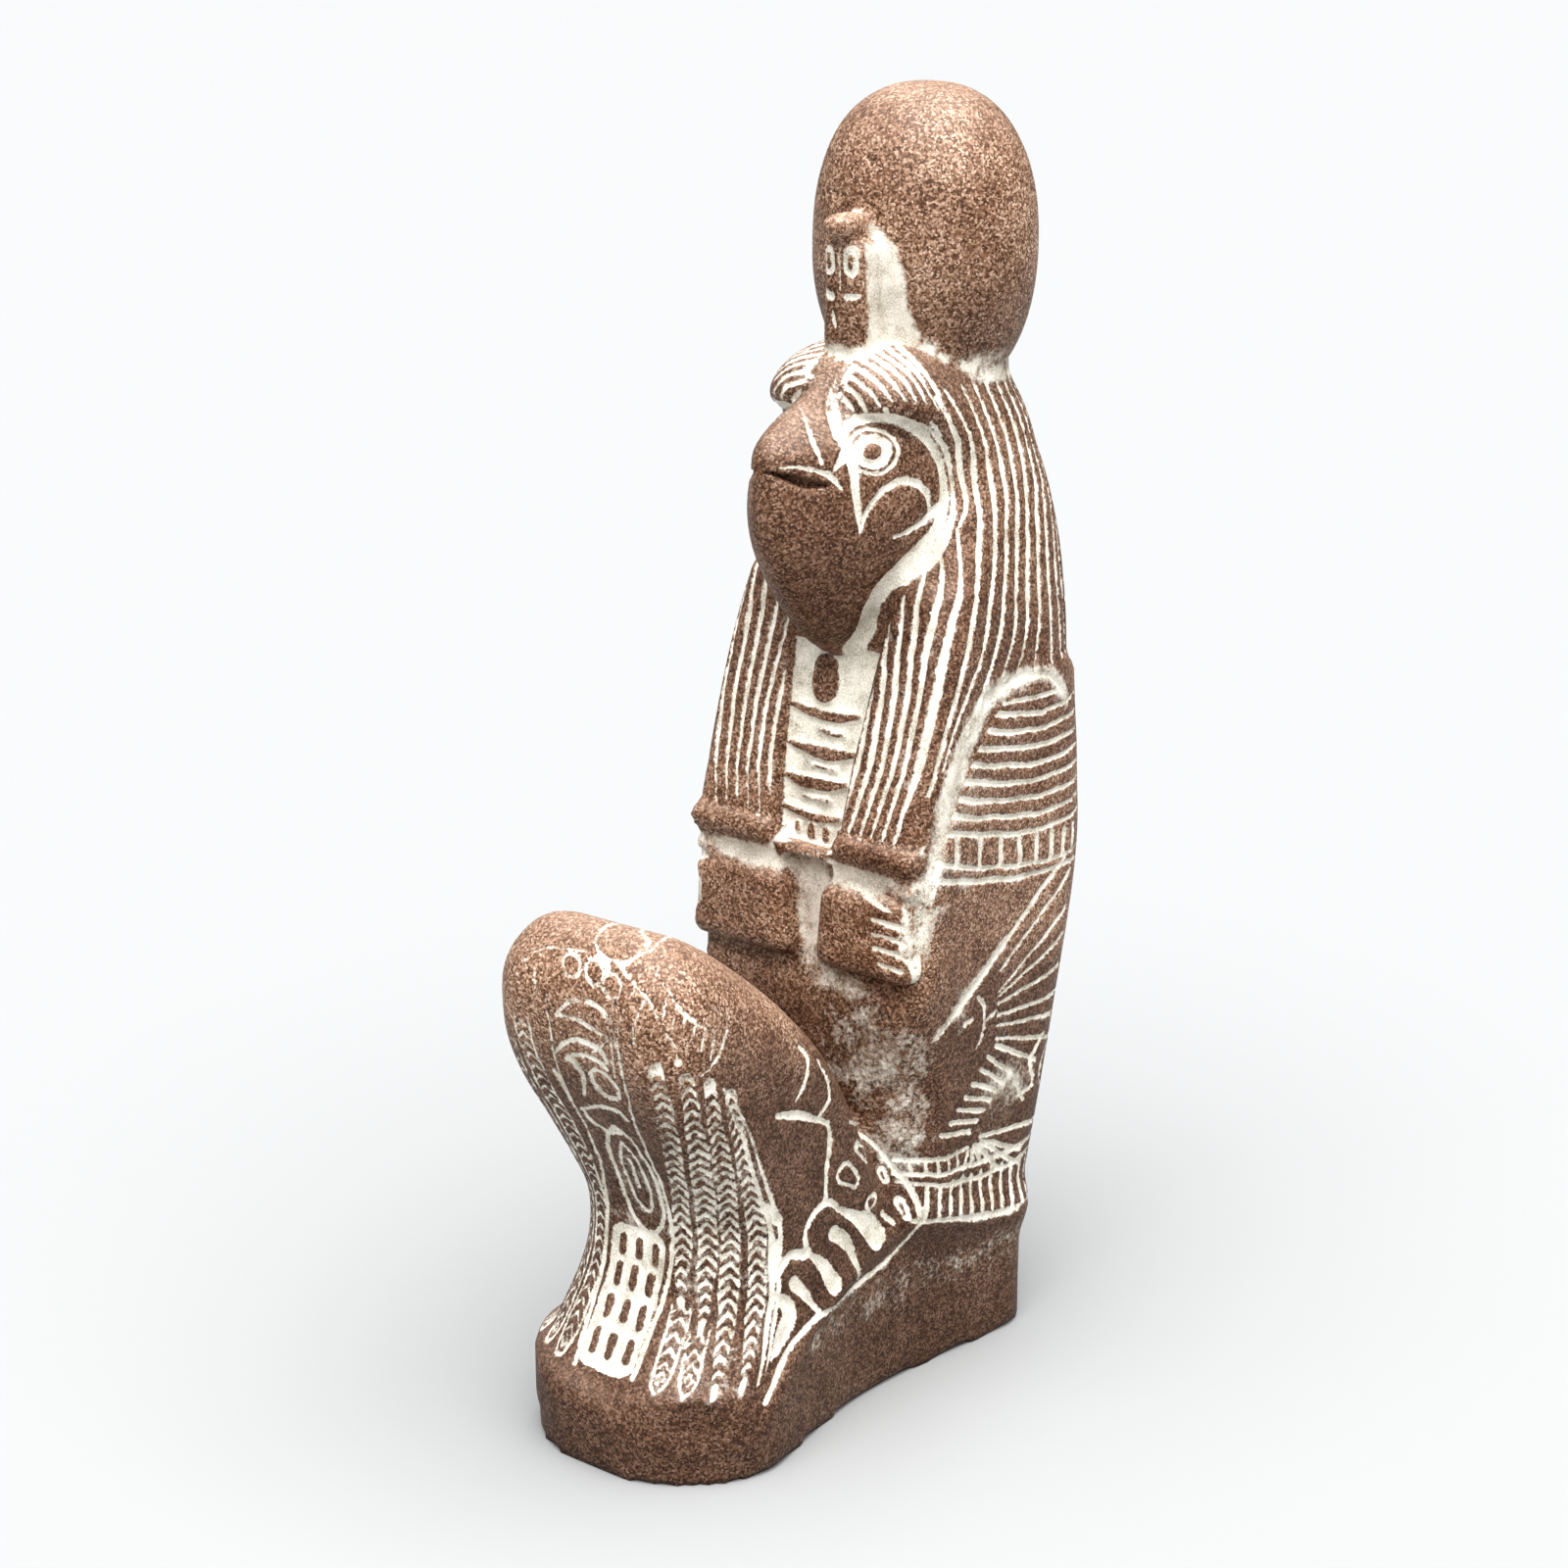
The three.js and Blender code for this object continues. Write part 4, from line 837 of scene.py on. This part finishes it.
# How many faces there may be after each round of halving: the worst edges always come first. An edge is
# wrong by what its middle differs from the mean of its ends, in depth and in distance to a cut's edge (mm)
FACE_GOALS = (52000, 84000, 112000, 136000, 156000, 174000, 188000, 196000)
CELL, SHORTEST_EDGE, KNOWN_REACH = 1.6, 0.24, 0.5
points, faces = skin(np.array((-24.5, -45.2, -1.3)), np.array((24.5, 60, 195.5)), CELL)
points = settle(points)
for goal in FACE_GOALS:
    edges, face_edges = edges_of(faces)
    a, b = points[edges[:, 0]], points[edges[:, 1]]
    length = np.linalg.norm(a - b, axis=1)
    middles = (a + b) / 2
    depth, edge, _, _ = carve(points)
    mid_depth, mid_edge, _, _ = carve(middles)
    known = np.clip(edge, -KNOWN_REACH, KNOWN_REACH)[edges].mean(1)
    wrong = np.abs(np.clip(mid_edge, -KNOWN_REACH, KNOWN_REACH) - known)
    wrong += np.abs(mid_depth - depth[edges].mean(1))
    # a long edge whose middle lies at a cut's edge counts as wrong too
    wrong += 0.5 * (np.abs(mid_edge) < 0.35 * length) * ramp(length, 0.45, 1.1)
    wrong = np.where(length > SHORTEST_EDGE, wrong * np.minimum(length, 1.2), 0)
    allowed = (goal - len(faces)) // 2
    last = np.sort(wrong)[-min(allowed, len(wrong))] if allowed > 0 else np.inf
    chosen = wrong > max(last, 0.02)
    middles[chosen] = settle(middles[chosen], 2, 0.4)
    points, faces = halve(points, faces, edges, face_edges, chosen, middles)

depth, edge, film, wear = carve(points)
normals = slope(points)
normals /= np.linalg.norm(normals, axis=1, keepdims=True)
uneven = wobble(points, 26, 0.1, 7) + wobble(points, 11, 0.05, 8)
standing = ramp(points[:, 2], 0.2, 3)
points = points - normals * ((depth - uneven) * standing)[:, None]

middle = (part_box("figure")[0].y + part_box("figure")[1].y) * 500
drawn_middle = (points[:, 1].min() + points[:, 1].max()) / 2
shift = np.array((0, middle - drawn_middle, 0))
mesh = bpy.data.meshes.new("carved_figure")
mesh.vertices.add(len(points))
mesh.vertices.foreach_set("co", ((points + shift) / 1000).ravel())
mesh.loops.add(len(faces) * 3)
mesh.loops.foreach_set("vertex_index", faces.ravel())
mesh.polygons.add(len(faces))
mesh.polygons.foreach_set("loop_start", np.arange(len(faces)) * 3)
mesh.polygons.foreach_set("use_smooth", np.ones(len(faces), bool))
mesh.update(calc_edges=True)
mesh.validate()
# How far each point faces up: the material puts pale dust and a painted highlight there
facing_up = ramp(normals[:, 2], 0.05, 0.95)
for name, values in (("cut_edge", edge), ("lime_film", film), ("lime_wear", wear),
                     ("facing_up", facing_up)):
    mesh.attributes.new(name, "FLOAT", "POINT").data.foreach_set("value", values.astype(np.float32))
figure = bpy.data.objects.new("carved_figure", mesh)
bpy.context.scene.collection.objects.link(figure)
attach(figure, "root")
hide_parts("figure")


def colour(value):
    """An sRGB hex colour in the linear values that Blender's sockets take."""
    parts = [int(value[i:i + 2], 16) / 255 for i in (1, 3, 5)]
    return [p / 12.92 if p <= 0.04045 else ((p + 0.055) / 1.055) ** 2.4 for p in parts] + [1]


def node(tree, kind, links=None, **settings):
    """Add a node: settings are its own properties or else its inputs by name; links give each input a
    socket, or a node for its first output."""
    new = tree.nodes.new("ShaderNode" + kind)
    for name, value in settings.items():
        if hasattr(new, name):
            setattr(new, name, value)
        else:
            new.inputs[name.replace("_", " ")].default_value = value
    for name, source in (links or {}).items():
        tree.links.new(getattr(source, "outputs", [source])[0], new.inputs[name])
    return new


def shades(ramp_node, *stops):
    """Give a colour ramp its (place, hex) stops."""
    band = ramp_node.color_ramp
    while len(band.elements) < len(stops):
        band.elements.new(0.5)
    for element, (place, value) in zip(band.elements, stops):
        element.position = place
        element.color = colour(value)


# Ground red-brown sandstone under worn lime wash: sandy grains of about 0.3 mm in tans, browns and near
# black, with a dull sheen, pale dust and a painted highlight on what faces up, and chalk white left in the
# cuts and the hollows.
material = bpy.data.materials.new("limewashed_red_sandstone")
material.use_nodes = True
tree = material.node_tree
tree.nodes.clear()
place = node(tree, "TexCoord").outputs["Object"]
edge_mm, film_share, wear_share, up_share = [
    node(tree, "Attribute", attribute_name=name).outputs["Fac"]
    for name in ("cut_edge", "lime_film", "lime_wear", "facing_up")]

# Sand grains: a cell each, on a finer noise and two slow changes of tone over 6 and 18 mm
grain = node(tree, "TexVoronoi", {"Vector": place}, Scale=3200.0)
fine = node(tree, "TexNoise", {"Vector": place}, Scale=4600.0, Detail=2.0)
blotch = node(tree, "TexNoise", {"Vector": place}, Scale=160.0, Detail=3.0)
patch = node(tree, "TexNoise", {"Vector": place}, Scale=55.0, Detail=3.0)
pick = node(tree, "SeparateColor", {"Color": grain.outputs["Color"]})
grain_and_fine = node(tree, "Math", {0: pick.outputs["Red"], 1: fine}, operation="ADD")
all_tones = node(tree, "Math", {0: blotch, 2: grain_and_fine}, operation="MULTIPLY_ADD")
all_tones.inputs[1].default_value = 0.6
tone = node(tree, "MapRange", {"Value": all_tones}, From_Min=0.38, From_Max=2.15)
stone_tone = node(tree, "ValToRGB", {"Fac": tone})
shades(stone_tone, (0.0, "#1b1008"), (0.2, "#492f1c"), (0.45, "#81614a"), (0.7, "#b99c86"),
       (0.92, "#ead9cb"))
patchy = node(tree, "ValToRGB", {"Fac": patch})
shades(patchy, (0.3, "#dcd3ce"), (0.7, "#ffffff"))
# Painted shade by height: the stone is made darker at the foot and the hips, where the overhead light falls
# off, and again from the chin to the brow, for the shade on the jaw and under the beak
height = node(tree, "SeparateXYZ", {"Vector": place}).outputs["Z"]
height_share = node(tree, "MapRange", {"Value": height}, From_Max=0.195)
height_shade = node(tree, "ValToRGB", {"Fac": height_share})
shades(height_shade, (0.04, "#b0a69f"), (0.29, "#bab0a8"), (0.35, "#ffffff"), (0.59, "#c8beb7"),
       (0.69, "#dbd4ce"), (0.77, "#cac4bf"), (0.88, "#ffffff"))
# sockets 6 and 7 of a mix node are its two colours, and output 2 is the colour that it gives
toned = node(tree, "Mix", {6: stone_tone, 7: patchy}, data_type="RGBA", blend_type="MULTIPLY")
toned.inputs[0].default_value = 1
# Painted shade: the stone's colour darkened by height
height_shaded = node(tree, "Mix", {6: toned.outputs[2], 7: height_shade}, data_type="RGBA", blend_type="MULTIPLY")
height_shaded.inputs[0].default_value = 1
# Pale dust on what faces up, which also stands for a painted highlight where the overhead lamp lights the
# tops
dust_and_sheen_share = node(tree, "Math", {0: up_share, 1: up_share}, operation="MULTIPLY")
dust_and_sheen_share = node(tree, "MapRange", {"Value": dust_and_sheen_share}, To_Max=0.2)
dusted_and_sheened = node(tree, "Mix", {0: dust_and_sheen_share, 6: height_shaded.outputs[2]}, data_type="RGBA")
dusted_and_sheened.inputs[7].default_value = colour("#dcc6b6")

# Lime: specks of 0.8 mm and patches of 4 mm decide where it has rubbed off, and each cut's edge is ragged
specks = node(tree, "TexNoise", {"Vector": place}, Scale=1300.0, Detail=3.0, Roughness=0.7)
patches = node(tree, "TexNoise", {"Vector": place}, Scale=260.0, Detail=3.0, Roughness=0.6)
both = node(tree, "Mix", {2: specks, 3: patches})
both.inputs[0].default_value = 0.42
ragged = node(tree, "TexNoise", {"Vector": place}, Scale=1000.0, Detail=4.0, Roughness=0.7)
shift_mm = node(tree, "MapRange", {"Value": ragged}, From_Min=0.3, From_Max=0.7, To_Min=-0.17, To_Max=0.17)
ragged_edge = node(tree, "Math", {0: edge_mm, 1: shift_mm}, operation="ADD")
in_cut = node(tree, "MapRange", {"Value": ragged_edge}, From_Min=0.08, From_Max=-0.08, To_Max=0.96)
threshold = node(tree, "MapRange", {"Value": wear_share}, To_Min=0.2, To_Max=0.6)
over = node(tree, "Math", {0: both, 1: threshold}, operation="SUBTRACT")
kept = node(tree, "MapRange", {"Value": over}, From_Min=-0.05, From_Max=0.08)
held = node(tree, "Math", {0: in_cut, 1: kept}, operation="MULTIPLY")
near_cut = node(tree, "MapRange", {"Value": edge_mm}, From_Min=1.2, From_Max=0.0, To_Max=0.12)
loose = node(tree, "Math", {0: film_share, 1: near_cut}, operation="ADD")
level = node(tree, "Math", {0: loose, 1: both}, operation="ADD")
dusty = node(tree, "MapRange", {"Value": level}, From_Min=0.74, From_Max=0.98, To_Max=0.82)
lime = node(tree, "Math", {0: held, 1: dusty}, operation="MAXIMUM")
chalk = node(tree, "Mix", {2: fine, 3: patches})
chalk.inputs[0].default_value = 0.5
lime_tone = node(tree, "ValToRGB", {"Fac": chalk})
shades(lime_tone, (0.34, "#aba598"), (0.47, "#dad6ca"), (0.58, "#f2efe6"))
surface = node(tree, "Mix", {0: lime, 6: dusted_and_sheened.outputs[2], 7: lime_tone}, data_type="RGBA")
grit = node(tree, "Math", {0: pick.outputs["Green"], 1: fine}, operation="ADD")
bump = node(tree, "Bump", {"Height": grit}, Strength=0.4, Distance=0.00012)
roughness = node(tree, "MapRange", {"Value": lime}, To_Min=0.5, To_Max=0.9)
shader = node(tree, "BsdfPrincipled", {"Base Color": surface.outputs[2], "Normal": bump,
                                       "Roughness": roughness})
node(tree, "OutputMaterial", {"Surface": shader})
figure.data.materials.append(material)

# The stage
# A pale matt floor under soft studio light: a very large lamp overhead, a little to the front, and a weak
# one in front.
floor_mesh = bpy.data.meshes.new("floor")
floor_mesh.from_pydata([(-20, -20, 0), (20, -20, 0), (20, 20, 0), (-20, 20, 0)], [], [(0, 1, 2, 3)])
floor = bpy.data.objects.new("floor", floor_mesh)
bpy.context.scene.collection.objects.link(floor)
paper = bpy.data.materials.new("pale_matt_paper")
paper.use_nodes = True
paper.node_tree.nodes["Principled BSDF"].inputs["Base Color"].default_value = colour("#9fa1a2")
paper.node_tree.nodes["Principled BSDF"].inputs["Roughness"].default_value = 0.9
floor_mesh.materials.append(paper)

# The room gives little light from the horizon and more from overhead, and is seen as plain pale grey
world = bpy.data.worlds.new("studio")
world.use_nodes = True
room = world.node_tree
glow = room.nodes["Background"]
sky = node(room, "TexCoord").outputs["Generated"]
way_up = node(room, "SeparateXYZ", {"Vector": sky}).outputs["Z"]
brightness = node(room, "MapRange", {"Value": way_up}, To_Min=0.1, To_Max=0.62)
room.links.new(brightness.outputs[0], glow.inputs["Strength"])
glow.inputs["Color"].default_value = colour("#f6f7fa")
backdrop = node(room, "Background", Color=colour("#eff0f2"), Strength=0.70)
seen = node(room, "LightPath").outputs["Is Camera Ray"]
both_rooms = node(room, "MixShader", {0: seen, 1: glow, 2: backdrop})
room.links.new(both_rooms.outputs[0], room.nodes["World Output"].inputs["Surface"])
bpy.context.scene.world = world
bpy.context.scene.view_settings.view_transform = "Standard"
bpy.context.scene.view_settings.look = "High Contrast"

# The camera's own right, its way of looking and its up, and the point it looks at from CAMERA_WAY (mm) away
right = np.array((math.cos(VIEW_TURN), math.sin(VIEW_TURN), 0))
level_look = np.array((-math.sin(VIEW_TURN), math.cos(VIEW_TURN), 0))
look = level_look * math.cos(VIEW_TILT) - np.array((0, 0, math.sin(VIEW_TILT)))
above = np.cross(right, look)
target = np.array((13, -12, 100)) + shift
CAMERA_WAY = 440


def lamp(name, towards, spread, power, tint):
    """A distant soft lamp in the direction towards, as wide in the sky as the angle spread (degrees)."""
    data = bpy.data.lights.new(name, "SUN")
    data.angle, data.energy, data.color = math.radians(spread), power, colour(tint)[:3]
    back = towards / np.linalg.norm(towards)
    side = np.cross((0, 1, 0), back)
    side /= np.linalg.norm(side)
    turn = np.stack([side, np.cross(back, side), back], 1)
    held = bpy.data.objects.new(name, data)
    held.matrix_world = Matrix([[*row, 0] for row in turn] + [[0, 0, 0, 1]])
    bpy.context.scene.collection.objects.link(held)


overhead = np.array((0, 0, 1))
lamp("overhead_softbox", overhead + 0.1 * right - 0.3 * look, 80, 4.3, "#fffdfb")
lamp("front_softbox", overhead * 0.9 - 0.4 * right - look, 50, 0.65, "#fffdfb")

camera_data = bpy.data.cameras.new("camera")
camera_data.sensor_width, camera_data.lens, camera_data.clip_start = 36, 72, 0.01
camera = bpy.data.objects.new("camera", camera_data)
eye = (target - look * CAMERA_WAY) / 1000
camera.matrix_world = Matrix([[right[i], above[i], -look[i], eye[i]] for i in range(3)] + [[0, 0, 0, 1]])
bpy.context.scene.collection.objects.link(camera)
bpy.context.scene.camera = camera


def corners(box):
    """A box as two plain lists of numbers."""
    return [[float(value) for value in corner] for corner in box]
